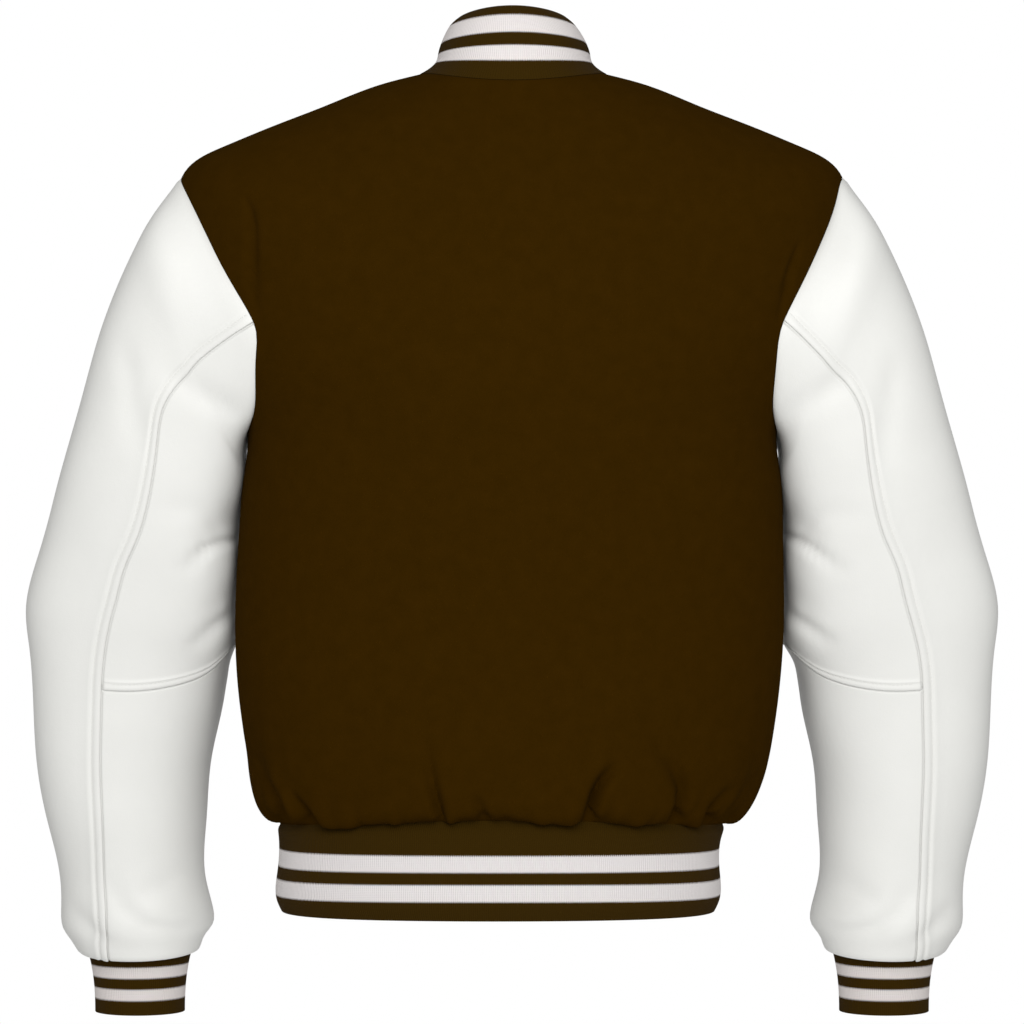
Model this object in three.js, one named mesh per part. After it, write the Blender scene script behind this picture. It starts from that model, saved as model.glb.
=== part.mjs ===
// A varsity jacket, filled out as if worn with nobody in it: melton wool body, leather sleeves,
// and rib-knit collar, cuffs and hem band. Every panel is its own closed wall of cloth.
// Millimetres. +Z is up, -Y is the wearer's back and +X is the wearer's right hand.
// The origin is the centre of the neck, level with the tops of the shoulders beside the collar.
import * as THREE from "three";

// Cloth thicknesses, and the gap that parts one panel from the next at a seam
const WOOL_WALL = 2.4;
const LEATHER_WALL = 1.8;
const RIB_WALL = 3.6;
const SEAM_GAP = 0.4;

// The front closes left over right: how far each front passes the centre line, and the set-back of the lower one
const LAP_HALF = 16;
const LAP_DEPTH = WOOL_WALL + 0.6;
const LAP_FADE = 36;
const TAB_HALF = 20;
const FRONT_SETTLE = 60;

// Body sections from the hem seam up to the neck seam. run: distance up the cloth; side, back, front:
// heights of the section there; half: half width; rear, fore: depths behind and before; shift: sideways
const BODY = [
  { run: 0, side: -588, back: -578.5, front: -584, half: 175, rear: 121, fore: 117, shift: -8 },
  { run: 10, side: -579, back: -574, front: -577, half: 187, rear: 130, fore: 126, shift: -7 },
  { run: 26, side: -563, back: -561, front: -563, half: 197, rear: 135, fore: 131, shift: -5 },
  { run: 56, side: -535, back: -534, front: -535, half: 203.5, rear: 136, fore: 133, shift: -3 },
  { run: 98, side: -494, back: -494, front: -494, half: 209.5, rear: 132, fore: 132, shift: -2.6 },
  { run: 161, side: -431, back: -431, front: -431, half: 213.5, rear: 128, fore: 130, shift: -1.9 },
  { run: 232, side: -360, back: -361, front: -361, half: 211.5, rear: 131, fore: 132, shift: -0.7 },
  { run: 270, side: -322, back: -324.5, front: -324.5, half: 209.2, rear: 133.5, fore: 132.6, shift: 0.2 },
  { run: 308, side: -285, back: -290, front: -290, half: 206, rear: 136, fore: 133, shift: 0 },
  { run: 358, side: -236, back: -250, front: -252, half: 224, rear: 138.5, fore: 131, shift: 0 },
  { run: 408, side: -186, back: -210, front: -216, half: 244, rear: 138, fore: 127, shift: 0 },
  { run: 458, side: -136, back: -170, front: -183, half: 255, rear: 134.5, fore: 122, shift: 0 },
  { run: 508, side: -87, back: -130, front: -152, half: 257, rear: 129, fore: 115, shift: 0 },
  { run: 523, side: -76.5, back: -119, front: -143, half: 249, rear: 126, fore: 111, shift: 0 },
  { run: 552, side: -63, back: -102, front: -132, half: 224, rear: 120, fore: 105, shift: 0 },
  { run: 592, side: -47.3, back: -81.5, front: -118, half: 186, rear: 112, fore: 96, shift: 0 },
  { run: 634, side: -31.8, back: -61, front: -105, half: 146, rear: 103, fore: 86, shift: 0 },
  { run: 676, side: -16, back: -40, front: -92, half: 106, rear: 92, fore: 76, shift: 0.5 },
  { run: 710, side: -7.5, back: -19, front: -80, half: 73, rear: 80, fore: 66, shift: 1 },
];
const UNDERARM_RUN = 308;
const SHOULDER_TIP_RUN = 508;
const NECK_RUN = 710;
const SECTION_FLATNESS = 0.8;

// The armhole: how far the seam is cut in from the side line, in radians, by the turn round it from the
// shoulder tip (0) to under the arm (180 degrees). The back's two armholes differ a little
const ARMHOLE = [
  { turn: 0, left: 0, right: 0, front: 0 },
  { turn: 14, left: 0.122, right: 0.17, front: 0.1 },
  { turn: 30, left: 0.275, right: 0.272, front: 0.25 },
  { turn: 48, left: 0.396, right: 0.34, front: 0.417 },
  { turn: 68, left: 0.492, right: 0.427, front: 0.57 },
  { turn: 86, left: 0.59, right: 0.513, front: 0.633 },
  { turn: 100, left: 0.622, right: 0.544, front: 0.625 },
  { turn: 110, left: 0.577, right: 0.513, front: 0.596 },
  { turn: 130, left: 0.455, right: 0.404, front: 0.488 },
  { turn: 155, left: 0.28, right: 0.241, front: 0.283 },
  { turn: 180, left: 0, right: 0, front: 0 },
];
// The turns that the body's rows and the sleeves' columns share at the armhole
const ARMHOLE_TURNS = [0, 14, 28, 42, 56, 70, 83, 95.5, 105, 118, 132, 146, 158, 170, 180];

// Collar sections from the neck seam up to the rolled top edge, with the same columns as the body's
const COLLAR = [
  { run: 0, side: -7, back: -18.6, front: -79.6, half: 73, rear: 80, fore: 66, shift: 1 },
  { run: 8, side: -3.5, back: -11, front: -72, half: 67, rear: 77.6, fore: 66.5, shift: 1.2 },
  { run: 16, side: 1, back: -3, front: -64, half: 62, rear: 75, fore: 66.5, shift: 1.4 },
  { run: 32, side: 10.5, back: 12.5, front: -50, half: 59, rear: 70, fore: 65.5, shift: 1.6 },
  { run: 48, side: 24, back: 27.5, front: -38, half: 53.5, rear: 64.5, fore: 62.5, shift: 1 },
  { run: 57, side: 32.5, back: 37, front: -32.5, half: 47.5, rear: 60, fore: 59, shift: 0.5 },
  { run: 62, side: 36, back: 41, front: -31, half: 43, rear: 56.5, fore: 56.5, shift: 0.5 },
];
const COLLAR_RUNS = [0, 8, 16, 32, 48, 57, 62];
const COLLAR_END_GAP = 0.9;
const COLLAR_END_ROUNDING = { width: 24, drop: 0.34 };

// Hem band sections, from the seam down to the folded lower edge
const BAND = [
  { run: 0, side: -588.4, back: -578.9, front: -584.4, half: 175, rear: 121, fore: 117, shift: -8 },
  { run: 14, side: -601, back: -597, front: -598, half: 172, rear: 121.5, fore: 118, shift: -9.4 },
  { run: 38, side: -625, back: -621, front: -622, half: 172, rear: 123, fore: 119, shift: -10.4 },
  { run: 60, side: -647, back: -643, front: -644, half: 172.5, rear: 123.5, fore: 119.5, shift: -10.8 },
  { run: 71, side: -656.5, back: -654, front: -654, half: 168.5, rear: 119.5, fore: 116, shift: -10.8 },
];
const BAND_RUNS = [0, 14, 38, 60, 71];

// Sleeve rings below the armhole, for the wearer's right arm. outX, outY, outZ: the outermost point;
// inX, inY, inZ: the point that faces the body; half: half the ring's depth from back to front;
// lean: how far the inner points of both arms lie to the right, along the body's sides;
// round: 1 for a round section, and below it the back and the front are flatter
const SLEEVE = [
  { run: 34, outX: 277.6, outY: -2, outZ: -117, inX: 209.5, inY: 8, inZ: -302, half: 80, lean: 0.2, round: 0.5 },
  { run: 72, outX: 296, outY: 2, outZ: -150, inX: 209.6, inY: 14, inZ: -316, half: 79, lean: 0.1, round: 0.5 },
  { run: 122, outX: 317, outY: 10, outZ: -198, inX: 211, inY: 18, inZ: -334, half: 78, lean: -0.2, round: 0.5 },
  { run: 186, outX: 336, outY: 20, outZ: -260, inX: 212.4, inY: 22, inZ: -358, half: 77, lean: -0.7, round: 0.5 },
  { run: 250, outX: 355, outY: 32, outZ: -322, inX: 213.4, inY: 28, inZ: -388, half: 76, lean: -1.2, round: 0.5 },
  { run: 306, outX: 371, outY: 44, outZ: -376, inX: 214.4, inY: 36, inZ: -418, half: 75, lean: -1.7, round: 0.5 },
  { run: 350, outX: 383, outY: 52, outZ: -421, inX: 216, inY: 46, inZ: -447, half: 74, lean: -2, round: 0.5 },
  { run: 386, outX: 381, outY: 56, outZ: -457, inX: 225, inY: 54, inZ: -470, half: 72, lean: 0, round: 0.55 },
  { run: 426, outX: 379, outY: 58, outZ: -497, inX: 231, inY: 58, inZ: -503, half: 69, lean: 0, round: 0.62 },
  { run: 474, outX: 377, outY: 60, outZ: -545, inX: 240, inY: 60, inZ: -546, half: 65, lean: 0, round: 0.72 },
  { run: 522, outX: 369, outY: 61, outZ: -592, inX: 243.5, inY: 61, inZ: -592, half: 61, lean: 0, round: 0.82 },
  { run: 566, outX: 359.5, outY: 62, outZ: -636, inX: 244.5, inY: 62, inZ: -636, half: 57, lean: 0, round: 0.9 },
  { run: 590, outX: 358.5, outY: 62, outZ: -660, inX: 239, inY: 62, inZ: -659, half: 58, lean: 0, round: 0.95 },
  { run: 606, outX: 357.5, outY: 62, outZ: -676, inX: 238, inY: 62, inZ: -674, half: 57, lean: 0, round: 1 },
  { run: 622, outX: 349.5, outY: 62, outZ: -688, inX: 246, inY: 62, inZ: -686, half: 50.5, lean: 0, round: 1 },
  { run: 634, outX: 343, outY: 62, outZ: -695.5, inX: 249.5, inY: 62, inZ: -694, half: 46.5, lean: 0, round: 1 },
  { run: 642, outX: 339, outY: 62, outZ: -690, inX: 253.2, inY: 62, inZ: -688.8, half: 40.2, lean: 0, round: 1 },
];
const SLEEVE_END_RUN = 642;

// The sleeve's long back seam, as an angle from its outermost line, at distances below the armhole
const BACK_SEAM = [
  { run: 0, angle: 95.5 },
  { run: 10, angle: 98.2 },
  { run: 27, angle: 102 },
  { run: 47, angle: 101.9 },
  { run: 57, angle: 100 },
  { run: 67, angle: 97.6 },
  { run: 76, angle: 95.3 },
  { run: 90, angle: 92.2 },
  { run: 110, angle: 89.5 },
  { run: 135, angle: 88.3 },
  { run: 160, angle: 89.6 },
  { run: 190, angle: 90.9 },
  { run: 235, angle: 91.4 },
  { run: 270, angle: 89.3 },
  { run: 302, angle: 85.3 },
  { run: 328, angle: 84.2 },
  { run: 352, angle: 82.6 },
  { run: 378, angle: 80.4 },
  { run: 403, angle: 78.8 },
  { run: 435, angle: 78.8 },
  { run: 470, angle: 79.5 },
  { run: 515, angle: 78 },
  { run: 545, angle: 75 },
  { run: 575, angle: 71.8 },
  { run: 604, angle: 70.6 },
  { run: 642, angle: 62 },
];
const FRONT_SEAM_ANGLE = 105;
// The seam across the under sleeve at the elbow: its distance below the armhole, by the angle round the sleeve
const ELBOW_SEAM = [
  { angle: 77, run: 411.3 },
  { angle: 97, run: 411 },
  { angle: 113, run: 407.7 },
  { angle: 125, run: 403.6 },
  { angle: 138, run: 397.5 },
  { angle: 150, run: 389 },
  { angle: 160, run: 377.5 },
  { angle: 170, run: 364.5 },
  { angle: 180, run: 359 },
  { angle: 190, run: 361 },
  { angle: 205, run: 374 },
  { angle: 225, run: 396 },
  { angle: 255, run: 409 },
];
const ELBOW_RUN = 410;
// How far the gathered leather hangs over the cuff at its back and front
const BLOUSE_DROOP = 5;

const CUFF = { gap: 0.6, drop: 54, narrowing: 0.17, depth: 0.97 };

// Creases as straight troughs: from the deep end x0, z0 to the fading end x1, z1, with a width and a depth
const BACK_CREASES = [
  { x0: -163, z0: -578, x1: -180, z1: -548, width: 7, depth: 5 },
  { x0: -180, z0: -548, x1: -190, z1: -512, width: 9, depth: 3 },
  { x0: -146, z0: -578, x1: -156, z1: -560, width: 5, depth: 6 },
  { x0: -54, z0: -578, x1: -63, z1: -522, width: 7, depth: 5 },
  { x0: -19, z0: -578, x1: -27, z1: -560, width: 5, depth: 4 },
  { x0: 56, z0: -578, x1: 72, z1: -545, width: 5.5, depth: 9 },
  { x0: 122, z0: -578, x1: 128, z1: -552, width: 6, depth: 7 },
  { x0: 128, z0: -552, x1: 102, z1: -506, width: 10, depth: 4 },
  { x0: 146, z0: -578, x1: 156, z1: -560, width: 5, depth: 6 },
  { x0: -196, z0: -208, x1: -199, z1: -112, width: 5, depth: 4 },
  { x0: 203, z0: -206, x1: 212, z1: -146, width: 5, depth: 3.5 },
];
const FRONT_CREASES = [
  { x0: -152, z0: -578, x1: -166, z1: -540, width: 7, depth: 6 },
  { x0: -118, z0: -578, x1: -112, z1: -535, width: 7, depth: 6 },
  { x0: -72, z0: -578, x1: -82, z1: -545, width: 6, depth: 5 },
  { x0: 52, z0: -578, x1: 60, z1: -535, width: 6, depth: 5 },
  { x0: 96, z0: -578, x1: 92, z1: -548, width: 6, depth: 7 },
  { x0: 136, z0: -578, x1: 152, z1: -536, width: 7, depth: 6 },
];
// Where the gathered cloth droops over the hem seam: angle across the panel in degrees, width and drop
const BACK_DROOPS = [
  { at: -90, width: 12, drop: 4 },
  { at: -43, width: 10, drop: 8 },
  { at: -26, width: 5, drop: 4 },
  { at: -13, width: 3.5, drop: 4.5 },
  { at: 11.5, width: 7, drop: 5.5 },
  { at: 34, width: 7, drop: 5.5 },
  { at: 56, width: 4.5, drop: 5.5 },
  { at: 90, width: 12, drop: 6 },
];
const FRONT_DROOPS = [
  { at: -90, width: 12, drop: 4 },
  { at: -45, width: 9, drop: 5 },
  { at: 44, width: 9, drop: 5 },
  { at: 90, width: 12, drop: 6 },
];
const DROOP_REACH = 7;
// Creases die out this far from a side seam or armhole
const CREASE_FADE = 12;

// Sleeve creases, placed on the right arm's back or front as seen square on: side -1 is the back, +1 the front
const SLEEVE_CREASES = [
  { side: -1, x0: 204, z0: -273, x1: 232, z1: -258, width: 7, depth: 3.5 },
  { side: -1, x0: 212, z0: -352, x1: 246, z1: -378, width: 8, depth: 5 },
  { side: -1, x0: 214, z0: -428, x1: 242, z1: -446, width: 7, depth: 4 },
  { side: -1, x0: 287, z0: -676, x1: 316, z1: -640, width: 8, depth: 4 },
  { side: -1, x0: 287, z0: -676, x1: 240, z1: -672, width: 8, depth: 4 },
  { side: -1, x0: 266, z0: -636, x1: 294, z1: -650, width: 7, depth: 2.5 },
  { side: 1, x0: 214, z0: -300, x1: 250, z1: -286, width: 9, depth: 4 },
  { side: 1, x0: 214, z0: -392, x1: 262, z1: -402, width: 9, depth: 4 },
  { side: 1, x0: 226, z0: -462, x1: 300, z1: -446, width: 9, depth: 5 },
  { side: 1, x0: 300, z0: -676, x1: 262, z1: -648, width: 8, depth: 4 },
];

// Press-stud caps down the front
const STUD = { count: 7, first: -100, last: -619, radius: 7.2, height: 3.2, lift: 0.45, sides: 16 };

// How finely the walls are divided
const BACK_COLUMNS = [
  -90, -83, -76, -69, -62.5, -59.5, -56.5, -53, -50.5, -48, -45, -38, -30, -22, -17.6, -14.6, -11.6,
  -6.7, -3.7, -0.7, 6, 12.5, 16.7, 19.7, 22.7, 29, 36, 40.6, 43.6, 46.6, 51, 54.9, 59, 66, 74, 82, 90,
];
const FRONT_COLUMNS = [-90, -84, -77, -70, -63, -57, -50, -43, -37, -30, -24, -18, -12];
const SKIRT_RUNS = [0, 5, 12, 24, 42, 66, 98, 140, 190, 248];
const YOKE_RUNS = [523, 552, 592, 634, 676, 710];
const SLEEVE_UPPER_SHARES = [0, 0.05, 0.12, 0.2, 0.3, 0.42, 0.55, 0.67, 0.78, 0.89, 1];
const SLEEVE_LOWER_SHARES = [0, 0.14, 0.3, 0.46, 0.6, 0.7, 0.79, 0.86, 0.92, 0.96, 1];
const BAND_COLUMNS = 60;
const COLLAR_COLUMNS = 34;
const CUFF_COLUMNS = 24;

const COLOURS = { wool: "#362102", leather: "#e9e8e3", rib: "#3a2a0e", stud: "#c9c9c6" };

const radians = THREE.MathUtils.degToRad;
const vec = (x, y, z) => new THREE.Vector3(x, y, z);
const smoothstep = THREE.MathUtils.smoothstep;

// A natural cubic spline through values at knots, as a function
function spline(knots, values) {
  const last = knots.length - 1;
  const bend = new Array(last + 1).fill(0);
  const ratio = new Array(last + 1).fill(0);
  for (let i = 1; i < last; i++) {
    const before = knots[i] - knots[i - 1];
    const after = knots[i + 1] - knots[i];
    const change = (values[i + 1] - values[i]) / after - (values[i] - values[i - 1]) / before;
    const pivot = 2 * (before + after) - before * ratio[i - 1];
    ratio[i] = after / pivot;
    bend[i] = (6 * change - before * bend[i - 1]) / pivot;
  }
  for (let i = last - 1; i > 0; i--) bend[i] -= ratio[i] * bend[i + 1];
  return (at) => {
    let i = 0;
    while (i < last - 1 && at > knots[i + 1]) i++;
    const span = knots[i + 1] - knots[i];
    const b = THREE.MathUtils.clamp((at - knots[i]) / span, 0, 1);
    const a = 1 - b;
    const curve = (a ** 3 - a) * bend[i] + (b ** 3 - b) * bend[i + 1];
    return a * values[i] + b * values[i + 1] + (curve * span * span) / 6;
  };
}

// One spline for each named column of a table, against one of its columns
function splines(table, against = "run") {
  const knots = table.map((row) => row[against]);
  const made = {};
  for (const name of Object.keys(table[0])) made[name] = spline(knots, table.map((row) => row[name]));
  return made;
}

const body = splines(BODY);
const collar = splines(COLLAR);
const band = splines(BAND);
const armhole = splines(ARMHOLE, "turn");

// A point of a section: angle 0 is the centre of the back or front, +-90 degrees are the sides
function sectionPoint(section, run, angle, isFront) {
  const across = Math.sin(angle);
  const inward = Math.max(Math.cos(angle), 0) ** SECTION_FLATNESS;
  const depth = isFront ? section.fore(run) : -section.rear(run);
  const middle = isFront ? section.front(run) : section.back(run);
  const height = THREE.MathUtils.lerp(middle, section.side(run), across * across);
  return vec(section.shift(run) + section.half(run) * across, depth * inward, height);
}

// How deep all the creases of a list are at a place seen square on
function creaseDepth(creases, x, z) {
  let depth = 0;
  for (const crease of creases) {
    const dx = crease.x1 - crease.x0;
    const dz = crease.z1 - crease.z0;
    const along = ((x - crease.x0) * dx + (z - crease.z0) * dz) / (dx * dx + dz * dz);
    const share = THREE.MathUtils.clamp(along, 0, 1);
    const away = Math.hypot(x - crease.x0 - share * dx, z - crease.z0 - share * dz);
    depth += crease.depth * (1 - share) * Math.exp(-((away / crease.width) ** 2));
  }
  return depth;
}

function droopAt(droops, angle) {
  const degrees = THREE.MathUtils.radToDeg(angle);
  return droops.reduce((sum, d) => sum + d.drop * Math.exp(-(((degrees - d.at) / d.width) ** 2)), 0);
}

// The body's cloth with its gathers
function bodyPoint(run, angle, isFront) {
  const point = sectionPoint(body, run, angle, isFront);
  const flatAtLap = isFront ? smoothstep(Math.abs(point.x), LAP_HALF, FRONT_SETTLE) : 1;
  const creases = isFront ? FRONT_CREASES : BACK_CREASES;
  const droops = isFront ? FRONT_DROOPS : BACK_DROOPS;
  const fromEdge = (panelReach(run, isFront, Math.sign(angle)) - Math.abs(angle)) * body.rear(run);
  const hold = smoothstep(run, 0, DROOP_REACH) * smoothstep(fromEdge, 0, CREASE_FADE);
  const sink = creaseDepth(creases, point.x, point.z) * hold * flatAtLap;
  const out = vec(point.x * 0.5, point.y, 0).normalize();
  const share = run / DROOP_REACH;
  point.addScaledVector(out, -sink);
  point.z -= droopAt(droops, angle) * share * Math.exp(1 - share) * flatAtLap;
  return point;
}

// The armhole seam as an angle from the centre line, at a share of the way up from underarm to shoulder tip.
// side is -1 for the wearer's left and +1 for the right
function armholeAngle(share, isFront, side) {
  const turn = THREE.MathUtils.radToDeg(Math.acos(THREE.MathUtils.clamp(2 * share - 1, -1, 1)));
  const cut = isFront ? armhole.front(turn) : side < 0 ? armhole.left(turn) : armhole.right(turn);
  return Math.PI / 2 - Math.max(cut, 0);
}

// The same seam as a loop: turn 0 is the shoulder tip, 90 degrees the back, 180 degrees under the arm.
// The left arm's loop is given mirrored, as a right arm's
function armholePoint(turn, side) {
  const share = (1 + Math.cos(turn)) / 2;
  const isFront = Math.sin(turn) < 0;
  const run = THREE.MathUtils.lerp(UNDERARM_RUN, SHOULDER_TIP_RUN, share);
  return bodyPoint(run, side * armholeAngle(share, isFront, side), isFront).multiply(vec(side, 1, 1));
}

const centreOfArmhole = (side) =>
  armholePoint(Math.PI / 2, side)
    .add(armholePoint(-Math.PI / 2, side))
    .add(armholePoint(0, side))
    .add(armholePoint(Math.PI, side))
    .multiplyScalar(0.25);

// Half the angle that a body panel spans at a height: all the way to the side seam, or to the armhole
function panelReach(run, isFront, side) {
  const share = (run - UNDERARM_RUN) / (SHOULDER_TIP_RUN - UNDERARM_RUN);
  const inset = (SEAM_GAP / 2 / body.rear(run)) ** (1 / SECTION_FLATNESS);
  const seam = share > 0 && share < 1 ? armholeAngle(share, isFront, side) : Math.PI / 2;
  return Math.min(seam, Math.PI / 2 - inset);
}

const sleeveKnots = [0, ...SLEEVE.map((ring) => ring.run)];

// A point of a sleeve: distance below the armhole, and turn round it from the outermost line
function sleevePoint(run, turn, armSide) {
  const outward = (1 + Math.cos(turn)) / 2;
  const across = Math.sin(turn);
  const ringPoints = SLEEVE.map((ring) =>
    vec(
      THREE.MathUtils.lerp(ring.inX + armSide * ring.lean, ring.outX, outward),
      THREE.MathUtils.lerp(ring.inY, ring.outY, outward) - ring.half * Math.sign(across) * Math.abs(across) ** ring.round,
      THREE.MathUtils.lerp(ring.inZ, ring.outZ, outward),
    ),
  );
  const path = [armholePoint(turn, armSide), ...ringPoints];
  const at = (axis) => spline(sleeveKnots, path.map((point) => point[axis]))(run);
  const point = vec(at("x"), at("y"), at("z"));
  const droop = smoothstep(run, 595, 630) * (1 - smoothstep(run, 634, SLEEVE_END_RUN));
  point.z -= BLOUSE_DROOP * Math.abs(across) * droop;
  const side = across > 0 ? -1 : 1;
  const creases = SLEEVE_CREASES.filter((crease) => crease.side === side);
  const hold = smoothstep(run, 0, 30) * (1 - smoothstep(run, 610, SLEEVE_END_RUN));
  point.y -= side * creaseDepth(creases, point.x, point.z) * hold * Math.abs(across);
  return point;
}

const backSeam = splines(BACK_SEAM);

// A closed wall of cloth over a grid of places. outer(s, t) gives its outer face for s and t from 0 to 1,
// columns and rows list the s and t to use, and the ends may be given the direction that a shared seam faces
function clothWall({ outer, columns, rows, wall, facing = 1, firstInward, lastInward, isTube = false }) {
  const nudge = 1e-3;
  const positions = [];
  const inwardAt = (s, t) => {
    const s0 = isTube ? s - nudge : Math.max(s - nudge, 0);
    const s1 = isTube ? s + nudge : Math.min(s + nudge, 1);
    const across = outer(s1, t).sub(outer(s0, t));
    const along = outer(s, Math.min(t + nudge, 1)).sub(outer(s, Math.max(t - nudge, 0)));
    return across.cross(along).normalize().multiplyScalar(facing);
  };
  for (const layer of [0, wall]) {
    rows.forEach((t, row) => {
      for (const s of columns) {
        let inward = inwardAt(s, t);
        if (row === 0 && firstInward) inward = firstInward(s);
        if (row === rows.length - 1 && lastInward) inward = lastInward(s);
        const point = outer(s, t).addScaledVector(inward, layer);
        positions.push(point.x, point.y, point.z);
      }
    });
  }
  const wide = columns.length;
  const high = rows.length;
  const index = (layer, row, column) => layer * wide * high + row * wide + (column % wide);
  const faces = [];
  const quad = (a, b, c, d) => faces.push(a, b, c, a, c, d);
  const columnSteps = isTube ? wide : wide - 1;
  for (let row = 0; row < high - 1; row++) {
    for (let c = 0; c < columnSteps; c++) {
      quad(index(0, row, c), index(0, row, c + 1), index(0, row + 1, c + 1), index(0, row + 1, c));
      quad(index(1, row, c), index(1, row + 1, c), index(1, row + 1, c + 1), index(1, row, c + 1));
    }
    if (!isTube) {
      const end = wide - 1;
      quad(index(0, row, 0), index(0, row + 1, 0), index(1, row + 1, 0), index(1, row, 0));
      quad(index(0, row, end), index(1, row, end), index(1, row + 1, end), index(0, row + 1, end));
    }
  }
  const top = high - 1;
  for (let c = 0; c < columnSteps; c++) {
    quad(index(0, 0, c), index(1, 0, c), index(1, 0, c + 1), index(0, 0, c + 1));
    quad(index(0, top, c), index(0, top, c + 1), index(1, top, c + 1), index(1, top, c));
  }
  const geometry = new THREE.BufferGeometry();
  geometry.setAttribute("position", new THREE.Float32BufferAttribute(positions, 3));
  geometry.setIndex(signedVolume(positions, faces) < 0 ? faces.reverse() : faces);
  return geometry;
}

function signedVolume(positions, faces) {
  const at = (i) => vec(positions[3 * i], positions[3 * i + 1], positions[3 * i + 2]);
  let volume = 0;
  for (let i = 0; i < faces.length; i += 3) {
    volume += at(faces[i]).dot(at(faces[i + 1]).cross(at(faces[i + 2])));
  }
  return volume;
}

const jacket = new THREE.Group();
const paints = {
  wool: new THREE.MeshStandardMaterial({ color: COLOURS.wool, roughness: 0.95, metalness: 0 }),
  leather: new THREE.MeshStandardMaterial({ color: COLOURS.leather, roughness: 0.5, metalness: 0 }),
  rib: new THREE.MeshStandardMaterial({ color: COLOURS.rib, roughness: 0.9, metalness: 0 }),
  stud: new THREE.MeshStandardMaterial({ color: COLOURS.stud, roughness: 0.3, metalness: 1 }),
};

function addPiece(name, geometry, paint, parent = jacket) {
  const mesh = new THREE.Mesh(geometry, paint);
  mesh.name = name;
  parent.add(mesh);
  return mesh;
}

// The direction a seam's edges face: square to the outline and inward, and down at the neck or up at a gathered edge
function seamInward(section, run, angle, isFront, rise) {
  const nudge = 1e-3;
  const along = sectionPoint(section, run, angle + nudge, isFront).sub(sectionPoint(section, run, angle - nudge, isFront));
  const inward = vec(-along.y, along.x, 0).multiplyScalar(isFront ? -1 : 1).normalize();
  return inward.setZ(rise).normalize();
}
const NECK_SEAM_RISE = -0.8;
const GATHER_SEAM_RISE = 0.7;

// Heights of the rows of a body panel. The armhole's rows crowd together at its two ends
function bodyRuns() {
  const runs = [...SKIRT_RUNS];
  for (const turn of [...ARMHOLE_TURNS].reverse()) {
    const share = (1 + Math.cos(radians(turn))) / 2;
    runs.push(THREE.MathUtils.lerp(UNDERARM_RUN, SHOULDER_TIP_RUN, share));
  }
  return [...runs, ...YOKE_RUNS];
}

// The way that the lower front moves in under the upper one: square to the cloth, and along the seams at its ends
function setBackDirection(run, angle, isFront) {
  const nudge = 1e-3;
  const across = bodyPoint(run, angle + nudge, isFront).sub(bodyPoint(run, angle - nudge, isFront));
  const along = bodyPoint(run + nudge, angle, isFront).sub(bodyPoint(run - nudge, angle, isFront));
  const square = across.cross(along).normalize().multiplyScalar(isFront ? 1 : -1);
  const atHem = 1 - smoothstep(run, 0, SKIRT_RUNS[1] * 0.8);
  const atNeck = smoothstep(run, NECK_RUN - 8, NECK_RUN);
  square.lerp(seamInward(body, 0, angle, isFront, GATHER_SEAM_RISE), atHem);
  return square.lerp(seamInward(body, NECK_RUN, angle, isFront, NECK_SEAM_RISE), atNeck).normalize();
}

// A body panel between two edges. Each edge is -1 or +1 for a side seam or armhole, or a place on the lap
function addBodyPanel(name, isFront, columns, edgeAngle, facing, setBackAt = () => 0) {
  const runs = bodyRuns();
  const place = (s, t) => {
    const run = t * NECK_RUN;
    return { run, angle: edgeAngle(s, panelReach(run, isFront, -1), panelReach(run, isFront, 1), run) };
  };
  const outer = (s, t) => {
    const { run, angle } = place(s, t);
    const point = bodyPoint(run, angle, isFront);
    return point.addScaledVector(setBackDirection(run, angle, isFront), setBackAt(run, angle));
  };
  const rows = runs.map((run) => run / NECK_RUN);
  const wallOf = clothWall({
    outer,
    columns,
    rows,
    wall: WOOL_WALL,
    facing,
    firstInward: (s) => seamInward(body, 0, place(s, 0).angle, isFront, GATHER_SEAM_RISE),
    lastInward: (s) => seamInward(body, NECK_RUN, place(s, 1).angle, isFront, NECK_SEAM_RISE),
  });
  turnArmholeRim(wallOf, columns.length, runs);
  return addPiece(name, wallOf, paints.wool);
}

// Along the armhole the wall's rim faces the armhole's centre, so that the sleeve's rim can match it
function turnArmholeRim(geometry, wide, runs) {
  const positions = geometry.getAttribute("position");
  const layer = wide * runs.length;
  runs.forEach((run, row) => {
    if (run < UNDERARM_RUN || run > SHOULDER_TIP_RUN) return;
    for (const column of [0, wide - 1]) {
      const outerIndex = row * wide + column;
      const outer = new THREE.Vector3().fromBufferAttribute(positions, outerIndex);
      const centre = centreOfArmhole(Math.sign(outer.x));
      centre.x *= Math.sign(outer.x);
      if (Math.abs(outer.x) < LAP_HALF * 2) continue;
      const inner = outer.clone().addScaledVector(centre.sub(outer).normalize(), WOOL_WALL);
      positions.setXYZ(layer + outerIndex, inner.x, inner.y, inner.z);
    }
  });
}

// The back, from side seam to side seam and up to the shoulders and neck
addBodyPanel(
  "back",
  false,
  BACK_COLUMNS.map((degrees) => (degrees + 90) / 180),
  (s, left, right) => (s < 0.5 ? (2 * s - 1) * left : (2 * s - 1) * right),
  -1,
);

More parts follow.
